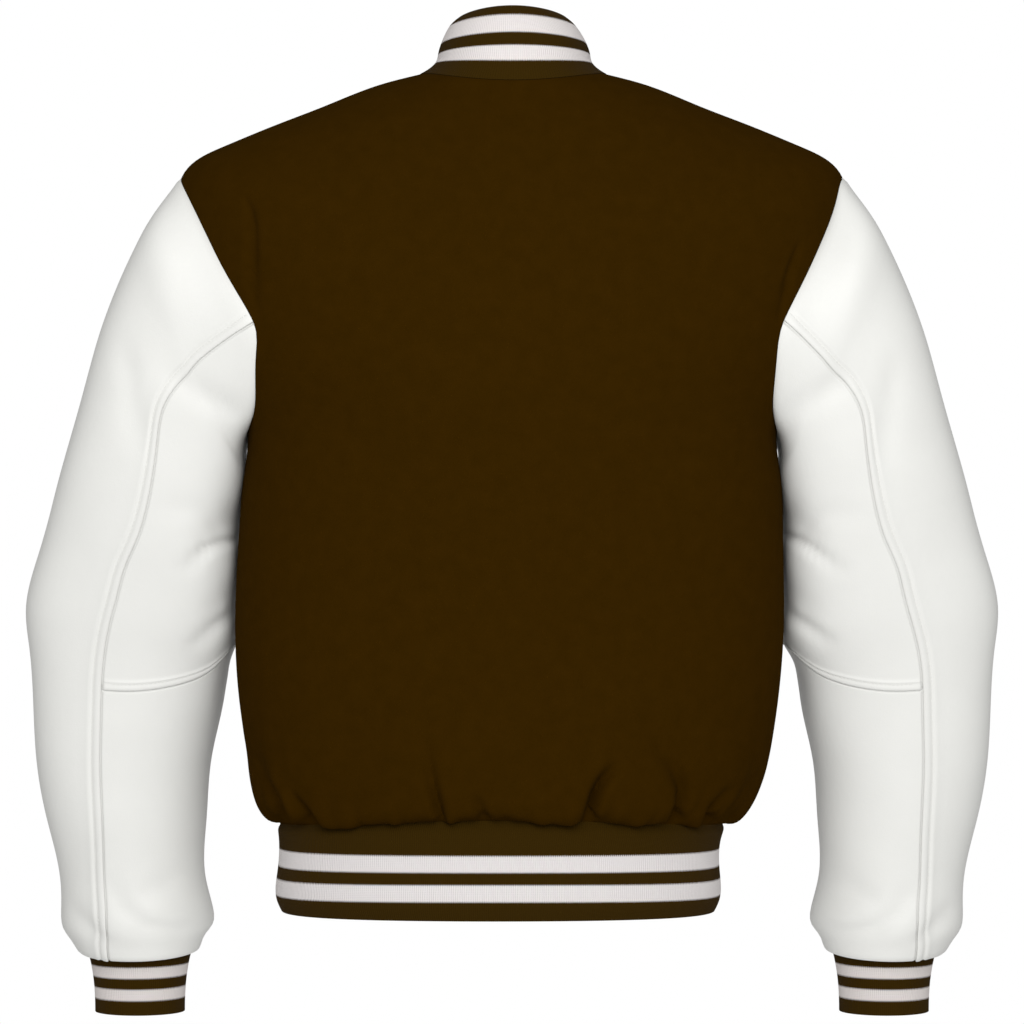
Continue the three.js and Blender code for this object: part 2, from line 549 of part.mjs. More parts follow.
// The two fronts. The wearer's left front, at -X, lies over the right one
const lapAngle = (x, run) => Math.asin(THREE.MathUtils.clamp((x - body.shift(run)) / body.half(run), -1, 1));
const frontShares = FRONT_COLUMNS.map((degrees) => (degrees + 90) / 90);
const lapShares = [0.93, 1];
addBodyPanel(
  "front_left",
  true,
  [...frontShares, ...lapShares],
  (s, left, right, run) => THREE.MathUtils.lerp(-left, lapAngle(LAP_HALF, run), s),
  1,
);
addBodyPanel(
  "front_right",
  true,
  [...frontShares, ...lapShares],
  (s, left, right, run) => THREE.MathUtils.lerp(right, lapAngle(-LAP_HALF, run), s),
  -1,
  (run, angle) => {
    const x = body.shift(run) + body.half(run) * Math.sin(angle);
    return LAP_DEPTH * (1 - smoothstep(x, LAP_HALF + 4, LAP_HALF + LAP_FADE));
  },
);

// An open ring of rib knit, such as the collar: from one side of the front opening round to the other
function addRibRing(name, section, runs, columns, openHalf, rowRun, firstRise) {
  const turnAt = (s, run) => {
    const open = Math.asin(openHalf / section.half(run));
    return THREE.MathUtils.lerp(-Math.PI + open, Math.PI - open, s);
  };
  // Turn 0 is the centre of the back; past a quarter turn the point is on the front
  const place = (turn) => {
    const isFront = Math.abs(turn) > Math.PI / 2;
    return { isFront, angle: isFront ? Math.sign(turn) * (Math.PI - Math.abs(turn)) : turn };
  };
  const outer = (s, t) => {
    const run = rowRun(t, turnAt(s, 0));
    const { isFront, angle } = place(turnAt(s, run));
    return sectionPoint(section, run, angle, isFront);
  };
  const last = runs[runs.length - 1];
  const geometry = clothWall({
    outer,
    columns: Array.from({ length: columns + 1 }, (_, i) => i / columns),
    rows: runs.map((run) => run / last),
    wall: RIB_WALL,
    facing: firstRise < 0 ? -1 : 1,
    firstInward: (s) => {
      const { isFront, angle } = place(turnAt(s, 0));
      return seamInward(section, 0, angle, isFront, firstRise);
    },
  });
  return addPiece(name, geometry, paints.rib);
}

// The standing collar, with its two front corners rounded down
addRibRing(
  "collar",
  collar,
  COLLAR_RUNS,
  COLLAR_COLUMNS,
  COLLAR_END_GAP,
  (t, turn) => {
    const fromFront = (Math.PI - Math.abs(turn)) * collar.half(0);
    const corner = Math.exp(-((fromFront / COLLAR_END_ROUNDING.width) ** 2));
    return t * COLLAR_RUNS[COLLAR_RUNS.length - 1] * (1 - COLLAR_END_ROUNDING.drop * corner * t);
  },
  NECK_SEAM_RISE,
);

// The hem band, which stops at the wool tabs on each side of the opening
addRibRing(
  "hem_band",
  band,
  BAND_RUNS,
  BAND_COLUMNS,
  TAB_HALF,
  (t) => t * BAND_RUNS[BAND_RUNS.length - 1],
  GATHER_SEAM_RISE,
);

// The wool tabs that carry the front edges down over the hem band's height
function addTab(name, from, to, setBack) {
  const last = BAND_RUNS[BAND_RUNS.length - 1];
  const outer = (s, t) => {
    const run = t * last;
    const x = THREE.MathUtils.lerp(from, to, s);
    const angle = Math.asin(x / band.half(run));
    const direction = seamInward(band, run, angle, true, GATHER_SEAM_RISE * (1 - smoothstep(run, 0, BAND_RUNS[1])));
    return sectionPoint(band, run, angle, true).addScaledVector(direction, setBack);
  };
  const geometry = clothWall({
    outer,
    columns: [0, 0.25, 0.5, 0.75, 1],
    rows: BAND_RUNS.map((run) => run / last),
    wall: WOOL_WALL,
    facing: -1,
    firstInward: (s) =>
      seamInward(band, 0, Math.asin(THREE.MathUtils.lerp(from, to, s) / band.half(0)), true, GATHER_SEAM_RISE),
  });
  return addPiece(name, geometry, paints.wool);
}
addTab("hem_tab_left", -TAB_HALF + SEAM_GAP, LAP_HALF, 0);
addTab("hem_tab_right", -LAP_HALF, TAB_HALF - SEAM_GAP, LAP_DEPTH);

// A sleeve panel between two turns, given as functions of the distance below the armhole
function sleevePanel(side, turnAt, runAt, columns, shares, seamRim) {
  const armholeCentre = centreOfArmhole(side);
  const outer = (s, t) => {
    const run = runAt(s, t);
    const point = sleevePoint(run, turnAt(s, run), side);
    const start = SEAM_GAP * (1 - smoothstep(run, 0, 8));
    return point.add(vec(0.7 * start, 0, -0.7 * start));
  };
  const geometry = clothWall({
    outer,
    columns,
    rows: shares,
    wall: LEATHER_WALL,
    facing: -1,
    firstInward: seamRim.atArmhole ? (s) => armholeCentre.clone().sub(outer(s, 0)).normalize() : undefined,
    lastInward: seamRim.atCuff
      ? (s) => {
          const point = outer(s, 1);
          return vec(cuffCentre.x - point.x, cuffCentre.y - point.y, 0).normalize().setZ(GATHER_SEAM_RISE).normalize();
        }
      : undefined,
  });
  return geometry;
}

const lastRing = SLEEVE[SLEEVE.length - 1];
const cuffCentre = vec(
  (lastRing.outX + lastRing.inX) / 2,
  (lastRing.outY + lastRing.inY) / 2,
  (lastRing.outZ + lastRing.inZ) / 2,
);

const edgeTurn = (SEAM_GAP * 0.75) / 70;
const backTurn = (run) => radians(backSeam.angle(run));
const elbowSeam = splines(ELBOW_SEAM, "angle");
const elbowRun = (turn) => elbowSeam.run(THREE.MathUtils.radToDeg(turn));
const topTurn = (s, run) =>
  THREE.MathUtils.lerp(-radians(FRONT_SEAM_ANGLE) + edgeTurn, backTurn(run) - edgeTurn, s);
const underTurn = (s, run) =>
  THREE.MathUtils.lerp(backTurn(run) + edgeTurn, 2 * Math.PI - radians(FRONT_SEAM_ANGLE) - edgeTurn, s);
const underElbow = (s) => elbowRun(underTurn(s, ELBOW_RUN));

// Columns from one long seam to the other, at the turns of the armhole's rows
const columnsAt = (turns) => turns.map((turn) => (turn - turns[0]) / (turns[turns.length - 1] - turns[0]));
const backward = [...ARMHOLE_TURNS].reverse();
const topColumns = columnsAt([
  -FRONT_SEAM_ANGLE,
  ...backward.filter((turn) => turn > 0 && turn < FRONT_SEAM_ANGLE).map((turn) => -turn),
  ...ARMHOLE_TURNS.filter((turn) => turn <= BACK_SEAM[0].angle),
]);
const underColumns = columnsAt([
  ...ARMHOLE_TURNS.filter((turn) => turn >= BACK_SEAM[0].angle),
  ...backward.filter((turn) => turn < 180 && turn >= FRONT_SEAM_ANGLE).map((turn) => 360 - turn),
]);

// The top sleeve takes its rows from both under panels, so that the long seams match
const topShares = [
  ...SLEEVE_UPPER_SHARES.map((share) => (share * ELBOW_RUN) / SLEEVE_END_RUN),
  ...SLEEVE_LOWER_SHARES.slice(1).map(
    (share) => THREE.MathUtils.lerp(ELBOW_RUN, SLEEVE_END_RUN, share) / SLEEVE_END_RUN,
  ),
];
const sleevePieces = (side) => ({
  sleeve_top: sleevePanel(side, topTurn, (s, t) => t * SLEEVE_END_RUN, topColumns, topShares, {
    atArmhole: true,
    atCuff: true,
  }),
  sleeve_under_upper: sleevePanel(
    side,
    underTurn,
    (s, t) => t * (underElbow(s) - SEAM_GAP),
    underColumns,
    SLEEVE_UPPER_SHARES,
    { atArmhole: true },
  ),
  sleeve_under_lower: sleevePanel(
    side,
    underTurn,
    (s, t) => THREE.MathUtils.lerp(underElbow(s) + SEAM_GAP, SLEEVE_END_RUN, t),
    underColumns,
    SLEEVE_LOWER_SHARES,
    { atCuff: true },
  ),
});

// The cuff is a knitted tube below the sleeve's last ring
function cuffGeometry(side) {
  const outer = (s, t) => {
    const turn = s * 2 * Math.PI;
    const top = sleevePoint(SLEEVE_END_RUN, turn, side);
    const narrow = 1 - CUFF.narrowing * (1 - (1 - t) ** 2.4);
    const point = top.sub(cuffCentre).multiply(vec(narrow, narrow * THREE.MathUtils.lerp(1, CUFF.depth, t), 1 - t));
    return point.add(cuffCentre).add(vec(0, 0, -CUFF.gap - t * CUFF.drop));
  };
  return clothWall({
    outer,
    columns: Array.from({ length: CUFF_COLUMNS }, (_, i) => i / CUFF_COLUMNS),
    rows: [0, 0.15, 0.4, 0.7, 1],
    wall: RIB_WALL,
    facing: -1,
    isTube: true,
    firstInward: (s) => {
      const point = outer(s, 0);
      return vec(cuffCentre.x - point.x, cuffCentre.y - point.y, 0).normalize().setZ(GATHER_SEAM_RISE).normalize();
    },
  });
}

// Both arms: the left one is made as a right one and mirrored
for (const [hand, side] of [["right", 1], ["left", -1]]) {
  const arm = new THREE.Group();
  arm.scale.x = side;
  for (const [name, geometry] of Object.entries(sleevePieces(side))) {
    addPiece(name + "_" + hand, geometry, paints.leather, arm);
  }
  addPiece("cuff_" + hand, cuffGeometry(side), paints.rib, arm);
  jacket.add(arm);
}

// The body's run at which the centre of the front reaches a height
function frontRunAt(height) {
  let low = 0;
  let high = NECK_RUN;
  for (let i = 0; i < 40; i++) {
    const middle = (low + high) / 2;
    if (body.front(middle) < height) low = middle;
    else high = middle;
  }
  return low;
}

// Domed press-stud caps down the centre of the upper front, the last one on its tab
function addStud(number, point, normal) {
  const { radius, height, sides } = STUD;
  const profile = [
    new THREE.Vector2(0, 0),
    new THREE.Vector2(radius, 0),
    new THREE.Vector2(radius, height * 0.45),
    new THREE.Vector2(radius * 0.82, height * 0.85),
    new THREE.Vector2(radius * 0.4, height),
    new THREE.Vector2(0, height),
  ];
  const cap = addPiece("stud_" + number, new THREE.LatheGeometry(profile, sides), paints.stud);
  cap.quaternion.setFromUnitVectors(vec(0, 1, 0), normal);
  cap.position.copy(point).addScaledVector(normal, STUD.lift);
}
for (let i = 0; i < STUD.count; i++) {
  const height = THREE.MathUtils.lerp(STUD.first, STUD.last, i / (STUD.count - 1));
  const onTab = height < BODY[0].front;
  const at = (z) => {
    if (onTab) return sectionPoint(band, BODY[0].front - z, 0, true);
    return bodyPoint(frontRunAt(z), 0, true);
  };
  const slope = at(height + 1).sub(at(height - 1));
  addStud(i + 1, at(height), vec(0, slope.z, -slope.y).normalize());
}

export default jacket;
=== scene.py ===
"""A varsity jacket, filled out as if worn with nobody in it, seen from the back."""

import math

import bmesh
import bpy
import numpy as np
from mathutils import Matrix, Vector


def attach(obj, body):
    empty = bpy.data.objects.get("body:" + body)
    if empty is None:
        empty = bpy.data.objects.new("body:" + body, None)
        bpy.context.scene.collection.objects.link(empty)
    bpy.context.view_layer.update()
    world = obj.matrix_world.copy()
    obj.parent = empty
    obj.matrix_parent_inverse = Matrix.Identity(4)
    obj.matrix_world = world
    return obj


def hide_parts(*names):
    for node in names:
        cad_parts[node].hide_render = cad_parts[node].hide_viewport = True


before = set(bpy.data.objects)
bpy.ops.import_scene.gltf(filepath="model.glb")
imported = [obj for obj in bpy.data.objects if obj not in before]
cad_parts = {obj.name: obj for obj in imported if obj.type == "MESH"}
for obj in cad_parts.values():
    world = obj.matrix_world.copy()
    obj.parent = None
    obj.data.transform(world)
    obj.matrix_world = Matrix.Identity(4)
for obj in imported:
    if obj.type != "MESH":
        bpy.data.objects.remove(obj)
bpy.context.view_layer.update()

# The back
# One piece of melton, a thick wool cloth fulled until its weave is hidden. It is cut on the fold, eased
# into the armholes, and gathered along its lower edge where the knitted hem band draws it in.
MM = 0.001
WOOL_WALL = 2.4
SEAM_HALF_GAP = 0.2
FLATNESS = 0.8
SECTION_COLUMNS = ("side", "back", "front", "half", "rear", "fore", "shift")
# Body sections: distance up the cloth from the hem seam, the heights at the side, the back and the front,
# then half width, depth behind, depth before and sideways shift, all in mm
BODY = {
    0: (-588, -578.5, -584, 175, 121, 117, -8),
    10: (-579, -574, -577, 187, 130, 126, -7),
    26: (-563, -561, -563, 197, 135, 131, -5),
    56: (-535, -534, -535, 203.5, 136, 133, -3),
    98: (-494, -494, -494, 209.5, 132, 132, -2.6),
    161: (-431, -431, -431, 213.5, 128, 130, -1.9),
    232: (-360, -361, -361, 211.5, 131, 132, -0.7),
    270: (-322, -324.5, -324.5, 209.2, 133.5, 132.6, 0.2),
    308: (-285, -290, -290, 206, 136, 133, 0),
    358: (-236, -250, -252, 224, 138.5, 131, 0),
    408: (-186, -210, -216, 244, 138, 127, 0),
    458: (-136, -170, -183, 255, 134.5, 122, 0),
    508: (-87, -130, -152, 257, 129, 115, 0),
    523: (-76.5, -119, -143, 249, 126, 111, 0),
    552: (-63, -102, -132, 224, 120, 105, 0),
    592: (-47.3, -81.5, -118, 186, 112, 96, 0),
    634: (-31.8, -61, -105, 146, 103, 86, 0),
    676: (-16, -40, -92, 106, 92, 76, 0.5),
    710: (-7.5, -19, -80, 73, 80, 66, 1),
}
UNDERARM_RUN, TIP_RUN, NECK_RUN = 308, 508, 710
# The armhole: degrees round it from the shoulder tip to under the arm, then how far the seam is cut in
# from the side line, in radians, at the left of the back, the right of the back and either front
ARMHOLE = {
    0: (0, 0, 0),
    14: (0.122, 0.17, 0.1),
    30: (0.275, 0.272, 0.25),
    48: (0.396, 0.34, 0.417),
    68: (0.492, 0.427, 0.57),
    86: (0.59, 0.513, 0.633),
    100: (0.622, 0.544, 0.625),
    110: (0.577, 0.513, 0.596),
    130: (0.455, 0.404, 0.488),
    155: (0.28, 0.241, 0.283),
    180: (0, 0, 0),
}
LEFT, RIGHT = -1, 1


def natural_curve(knots, values, at):
    """Natural cubic spline through values at knots. values may have one row for each knot."""
    knots, values = np.asarray(knots, float), np.asarray(values, float)
    gaps = np.diff(knots)
    slopes = np.diff(values, axis=0) / gaps.reshape((-1,) + (1,) * (values.ndim - 1))
    count = len(knots)
    system = np.eye(count)
    for i in range(1, count - 1):
        system[i, i - 1 : i + 2] = gaps[i - 1], 2 * (gaps[i - 1] + gaps[i]), gaps[i]
    sides = np.zeros_like(values)
    sides[1:-1] = 6 * np.diff(slopes, axis=0)
    bends = np.linalg.solve(system, sides.reshape(count, -1)).reshape(values.shape)
    at = np.clip(np.asarray(at, float), knots[0], knots[-1])
    low = np.clip(np.searchsorted(knots, at, side="right") - 1, 0, count - 2)
    span = gaps[low]
    b = (at - knots[low]) / span
    a = 1 - b
    if values.ndim > 1:
        a, b, span = (part[..., None] for part in (a, b, span))
    curve = (a**3 - a) * bends[low] + (b**3 - b) * bends[low + 1]
    return a * values[low] + b * values[low + 1] + curve * span**2 / 6


def read_table(table, at):
    """The columns of a table at any places between its rows, each as a natural curve."""
    rows = natural_curve(list(table), list(table.values()), at)
    return [rows[..., i] for i in range(rows.shape[-1])]


def read_section(sections, run):
    return dict(zip(SECTION_COLUMNS, read_table(sections, run)))


def smoothstep(value, low, high):
    share = np.clip((value - low) / (high - low), 0, 1)
    return share * share * (3 - 2 * share)


def mix(a, b, share):
    return a + (b - a) * share


def section_point(sections, run, angle, is_front):
    """A point on a section. Angle 0 is the centre of the back or front, and a quarter turn is the side."""
    at = read_section(sections, run)
    across = np.sin(angle)
    inward = np.maximum(np.cos(angle), 0) ** FLATNESS
    depth = at["fore"] if is_front else -at["rear"]
    middle = at["front"] if is_front else at["back"]
    height = mix(middle, at["side"], across**2)
    return np.stack([at["shift"] + at["half"] * across, depth * inward, height], -1)


def crease_depth(creases, across, up):
    """Depth of soft troughs. Each is a line of points: across, up, width and depth. Below 0 is a ridge."""
    total = np.zeros(np.shape(across))
    for points in creases:
        deepest = np.zeros_like(total)
        for (a0, u0, w0, d0), (a1, u1, w1, d1) in zip(points, points[1:]):
            da, du = a1 - a0, u1 - u0
            share = np.clip(((across - a0) * da + (up - u0) * du) / (da * da + du * du), 0, 1)
            away = np.hypot(across - a0 - share * da, up - u0 - share * du)
            depth = mix(d0, d1, share) * np.exp(-((away / mix(w0, w1, share)) ** 2))
            deepest = np.where(abs(depth) > abs(deepest), depth, deepest)
        total += deepest
    return total


def armhole_angle(share, is_front, side):
    """The armhole seam at a share of the way up it, as an angle from the centre line."""
    turn = np.degrees(np.arccos(np.clip(2 * share - 1, -1, 1)))
    left, right, front = read_table(ARMHOLE, turn)
    cut = front if is_front else left if side == LEFT else right
    return math.pi / 2 - np.maximum(cut, 0)


def panel_reach(run, is_front, side):
    """Half the angle that a body panel spans: to the side seam, or to the armhole."""
    share = (run - UNDERARM_RUN) / (TIP_RUN - UNDERARM_RUN)
    inset = (SEAM_HALF_GAP / read_section(BODY, run)["rear"]) ** (1 / FLATNESS)
    seam = np.where((share > 0) & (share < 1), armhole_angle(share, is_front, side), math.pi / 2)
    return np.minimum(seam, math.pi / 2 - inset)


def droop(droops, run, angle):
    """How far the gathered cloth hangs over the hem seam."""
    degrees = np.degrees(angle)
    most = sum(drop * np.exp(-(((degrees - at) / width) ** 2)) for at, width, drop in droops)
    share = run / 7
    return most * share * np.exp(1 - share)


def body_point(run, angle, is_front, droops=()):
    point = section_point(BODY, run, angle, is_front)
    if len(droops):
        point[..., 2] -= droop(droops, run, angle)
    return point


def surface_normals(grid):
    """Unit normals of a grid of points, with one row and one column of points for each of its lines."""
    along = np.gradient(grid, axis=0)
    across = np.gradient(grid, axis=1)
    normals = np.cross(across, along)
    return normals / np.maximum(np.linalg.norm(normals, axis=2, keepdims=True), 1e-9)


def arc_lengths(grid):
    """Distance along each row of a grid of points from its first column."""
    steps = np.linalg.norm(np.diff(grid, axis=1), axis=2)
    return np.concatenate([np.zeros((len(grid), 1)), np.cumsum(steps, axis=1)], axis=1)


def cloth(name, grid, wall, pattern, is_tube=False, rounding=0.6, axis=(0, 0)):
    """A wall of cloth over a grid of points in mm, thickened inward, with its pattern's UV map in metres."""
    rows, columns = grid.shape[:2]
    mesh = bmesh.new()
    bmesh.ops.create_grid(mesh, x_segments=columns - 1, y_segments=rows - 1, size=0.5)
    spots = [
        (round((v.co.y + 0.5) * (rows - 1)), round((v.co.x + 0.5) * (columns - 1))) for v in mesh.verts
    ]
    uv = mesh.loops.layers.uv.new("Cloth")
    for face in mesh.faces:
        for loop in face.loops:
            loop[uv].uv = pattern[spots[loop.vert.index]] * MM
        face.smooth = True
    for vertex, spot in zip(mesh.verts, spots):
        vertex.co = grid[spot] * MM
    if is_tube:
        bmesh.ops.remove_doubles(mesh, verts=mesh.verts, dist=1e-6)
    mesh.normal_update()
    centre = Vector((axis[0] * MM, axis[1] * MM, 0))
    outward = 0
    for face in mesh.faces:
        away = face.calc_center_median() - centre
        outward += face.normal.x * away.x + face.normal.y * away.y
    if outward < 0:
        bmesh.ops.reverse_faces(mesh, faces=mesh.faces)
    piece = new_piece(name, mesh)
    thick = piece.modifiers.new("Wall", "SOLIDIFY")
    thick.thickness = wall * MM
    thick.offset = -1
    thick.use_even_offset = True
    thick.thickness_clamp = 2
    soften = piece.modifiers.new("Edges", "BEVEL")
    soften.width = rounding * MM
    soften.segments = 2 if rounding < 1 else 3
    soften.limit_method = "ANGLE"
    soften.angle_limit = math.radians(60)
    return piece


def new_piece(name, mesh):
    data = bpy.data.meshes.new(name)
    mesh.to_mesh(data)
    mesh.free()
    piece = bpy.data.objects.new(name, data)
    bpy.context.collection.objects.link(piece)
    return piece


def linear(code):
    """An sRGB hex colour as linear RGBA."""
    parts = [int(code[i : i + 2], 16) / 255 for i in (1, 3, 5)]
    return [c / 12.92 if c <= 0.04045 else ((c + 0.055) / 1.055) ** 2.4 for c in parts] + [1]


def add_node(tree, kind, settings=None, links=None, **inputs):
    """Adds a node: settings are its properties, links go from other nodes' outputs to its inputs."""
    node = tree.nodes.new(kind)
    for key, value in (settings or {}).items():
        setattr(node, key, value)
    for key, value in inputs.items():
        node.inputs[int(key[1:]) if key[1:].isdigit() else key.replace("_", " ")].default_value = value
    for key, (source, output) in (links or {}).items():
        tree.links.new(source.outputs[output], node.inputs[key])
    return node


def new_material(name):
    material = bpy.data.materials.new(name)
    material.use_nodes = True
    material.node_tree.nodes.clear()
    return material, material.node_tree


# Melton wool: matt, deep and even in colour. Its fibres lie about 0.7 mm apart and hide the weave, and the
# nap brushes into faint soft patches some 12 mm across. It has no gloss at all.
WOOL_DARK, WOOL_LIGHT = "#2c1b01", "#321f02"
melton, tree = new_material("fulled melton wool")
place = add_node(tree, "ShaderNodeTexCoord")
nap = add_node(tree, "ShaderNodeTexNoise", {}, {"Vector": (place, "Object")}, Scale=1400, Detail=3)
patches = add_node(tree, "ShaderNodeTexNoise", {}, {"Vector": (place, "Object")}, Scale=85, Detail=4)
blend = add_node(
    tree, "ShaderNodeMath", {"operation": "MULTIPLY_ADD"}, {0: (nap, "Fac"), 2: (patches, "Fac")}, _1=1.2,
)
tones = add_node(tree, "ShaderNodeMapRange", {}, {"Value": (blend, 0)}, From_Min=0.7, From_Max=1.5)
colour = add_node(
    tree, "ShaderNodeMix", {"data_type": "RGBA"}, {0: (tones, 0)}, _6=linear(WOOL_DARK), _7=linear(WOOL_LIGHT),
)
fuzz = add_node(tree, "ShaderNodeBump", {}, {"Height": (nap, "Fac")}, Strength=0.3, Distance=0.0006)
rolls = add_node(
    tree, "ShaderNodeBump", {}, {"Height": (patches, "Fac"), "Normal": (fuzz, 0)}, Strength=0.12, Distance=0.002,
)
shader = add_node(
    tree, "ShaderNodeBsdfPrincipled", {}, {"Base Color": (colour, 2), "Normal": (rolls, 0)},
    Roughness=1, Specular_IOR_Level=0, Sheen_Weight=0.015, Sheen_Roughness=0.5, Sheen_Tint=linear("#a08a5c"),
)
add_node(tree, "ShaderNodeOutputMaterial", {}, {"Surface": (shader, 0)})

# Creases of the back: across and up as seen square on, width and depth, all in mm
BACK_CREASES = [
    # narrow breaks beside the armholes
    [(-202, -106, 3, 0), (-199, -116, 3, 3), (-196, -132, 3.2, 4), (-196, -165, 3.2, 4.5), (-197, -200, 5, 1)],
    [(220, -138, 3, 0), (216, -150, 3, 2.5), (209.5, -170, 3, 4), (206, -198, 3.2, 4), (205, -222, 5, 1)],
    # the side gather that runs down and in on the left, with its ridge
    [(-200, -520, 8, 0), (-197, -536, 7, 3), (-190, -553, 6, 4.5), (-182, -565, 6, 5), (-177, -581, 5, 5)],
    [(-188, -536, 6, 0), (-180, -553, 5, -2.5), (-172, -566, 5, -3), (-166, -581, 4, -2)],
    [(-170, -558, 4, 0), (-164, -568, 4, 6), (-153, -584, 4, 10)],
    [(-66, -512, 7, 0), (-64, -530, 5, 3), (-59, -552, 4, 6), (-55, -571, 3.8, 9), (-53, -583, 3.8, 8)],
    [(-31, -556, 4, 0), (-26, -564, 4, 4), (-21, -576, 4, 5.5), (-19, -583, 4, 4)],
    [(84, -530, 7, 0), (74, -541, 5, 5), (68, -548, 4.2, 10), (63, -558, 4, 13), (60, -570, 4, 14), (57.5, -583, 4, 12)],
    [(48, -556, 7, 0), (45, -572, 6, -2.5), (44, -583, 5, -2)],
    [
        (94, -486, 13, 0), (104, -508, 12, 3), (116, -527, 10, 5), (125, -541, 7, 7.5), (130, -556, 5, 10),
        (129, -568, 4.2, 11), (123.5, -583, 4, 11),
    ],
    [(169, -555, 5, 0), (161, -565, 4.2, 6), (154, -573, 4, 9), (150, -584, 4, 9)],
    [(190, -530, 9, 0), (186, -552, 7, 3), (177, -569, 5, 4.5), (168, -580, 4.5, 5)],
    # soft broad rolls where the cloth stands off the blades and the waist
    [(-150, -230, 30, 0), (-105, -300, 34, 2.5), (-70, -380, 34, 0)],
    [(146, -240, 30, 0), (112, -310, 34, 2.2), (80, -400, 34, 0)],
    [(-120, -470, 26, 0), (-128, -520, 22, 2.2), (-126, -565, 18, 1)],
    [(10, -480, 26, 0), (14, -520, 22, 2), (12, -560, 16, 1)],
]
# Where the cloth hangs over the hem seam: degrees from the centre, width in degrees and drop in mm
BACK_DROOPS = [
    (-90, 12, 4), (-43, 10, 8), (-26, 5, 4), (-13, 3.5, 4.5), (11.5, 7, 5.5), (34, 7, 5.5), (56, 4.5, 5.5), (90, 12, 6),
]
CREASE_FADE = 12
HEM_HOLD = 5


def small_gathers(run, angle, gathers):
    """The short puckers that the seam's stitches draw up: angle in degrees, width, reach and depth in mm."""
    degrees = np.degrees(angle)
    total = np.zeros(np.shape(angle))
    for at, width, reach, depth in gathers:
        total += depth * np.exp(-(((degrees - at) * 2.6 / width) ** 2)) * np.exp(-((run / reach) ** 2))
    return total


BACK_GATHERS = [
    (-82, 5, 26, 2.2), (-74, 6, 34, 1.8), (-66, 5, 22, 2.4), (-51, 5, 26, 1.6), (-43, 6, 30, 1.3), (-36, 4, 20, 1.8),
    (-29, 5, 26, 1.4), (-24, 4, 18, 1.8), (-10, 5, 24, 1.5), (1, 4, 17, 2), (6, 5, 26, 1.4), (12, 4, 20, 1.8),
    (25, 5, 24, 2), (31, 6, 28, 1.5), (37, 4, 18, 1.6), (49, 5, 24, 1.6), (61, 5, 28, 2), (68, 5, 22, 1.8),
    (76, 6, 34, 2), (84, 5, 24, 2.2),
]


HEM_GROOVE, HEM_GROOVE_REACH = 3, 3.5


def into_hem_seam(grid, run):
    """The stitches of the hem seam hold the cloth in, so that a groove runs round the jacket."""
    pull = HEM_GROOVE * np.exp(-((run / HEM_GROOVE_REACH) ** 2))
    pull = pull * np.where(grid[..., 1] > 0, smoothstep(abs(grid[..., 0]), 30, 70), 1)
    inward = -grid[..., :2] / np.hypot(grid[..., 0], grid[..., 1])[..., None]
    grid[..., :2] += inward * pull[..., None]
    return grid


def body_runs():
    """Distances of a body panel's rows: close together at the gathered hem and along the armhole."""
    skirt = np.concatenate([np.arange(0, 16, 2), np.arange(16, 60, 3), np.linspace(60, UNDERARM_RUN, 56)])
    shares = (1 - np.cos(np.linspace(0, math.pi, 53))) / 2
    yoke = np.linspace(TIP_RUN, NECK_RUN, 44)[1:]
    return np.concatenate([skirt, mix(UNDERARM_RUN, TIP_RUN, shares[1:]), yoke])


def body_panel(name, is_front, shares, angle_at, creases, droops, gathers, set_back=None):
    """A melton panel: its smooth form, then its creases pressed in square to the cloth."""
    run, share = np.meshgrid(body_runs(), shares, indexing="ij")
    left, right = (panel_reach(run, is_front, side) for side in (LEFT, RIGHT))
    angle = angle_at(share, run, left, right)
    grid = body_point(run, angle, is_front, droops)
    outward = surface_normals(grid)
    outward *= np.sign((outward[..., 1:2] * grid[..., 1:2]).mean())
    from_edge = (np.where(angle < 0, left, right) - abs(angle)) * read_section(BODY, run)["rear"]
    hold = smoothstep(run, 0, HEM_HOLD) * smoothstep(from_edge, 0, CREASE_FADE)
    sink = crease_depth(creases, grid[..., 0], grid[..., 2]) + small_gathers(run, angle, gathers)
    sink = sink * hold
    if is_front:
        sink = sink * smoothstep(abs(grid[..., 0]), 16, 60)
    if set_back is not None:
        sink = sink + set_back(grid)
    grid = into_hem_seam(grid - outward * sink[..., None], run)
    pattern = np.stack([arc_lengths(grid), run], -1)
    return cloth(name, grid, WOOL_WALL, pattern), grid


def dress(piece, node, material):
    """Gives a cloth piece its material, hangs it on the root body and hides the CAD node that it stands for."""
    piece.data.materials.append(material)
    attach(piece, "root")
    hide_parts(node)


back, back_grid = body_panel(
    "back_panel", False, np.linspace(0, 1, 261),
    lambda s, run, left, right: (2 * s - 1) * np.where(s < 0.5, left, right),
    BACK_CREASES, BACK_DROOPS, BACK_GATHERS,
)
dress(back, "back", melton)

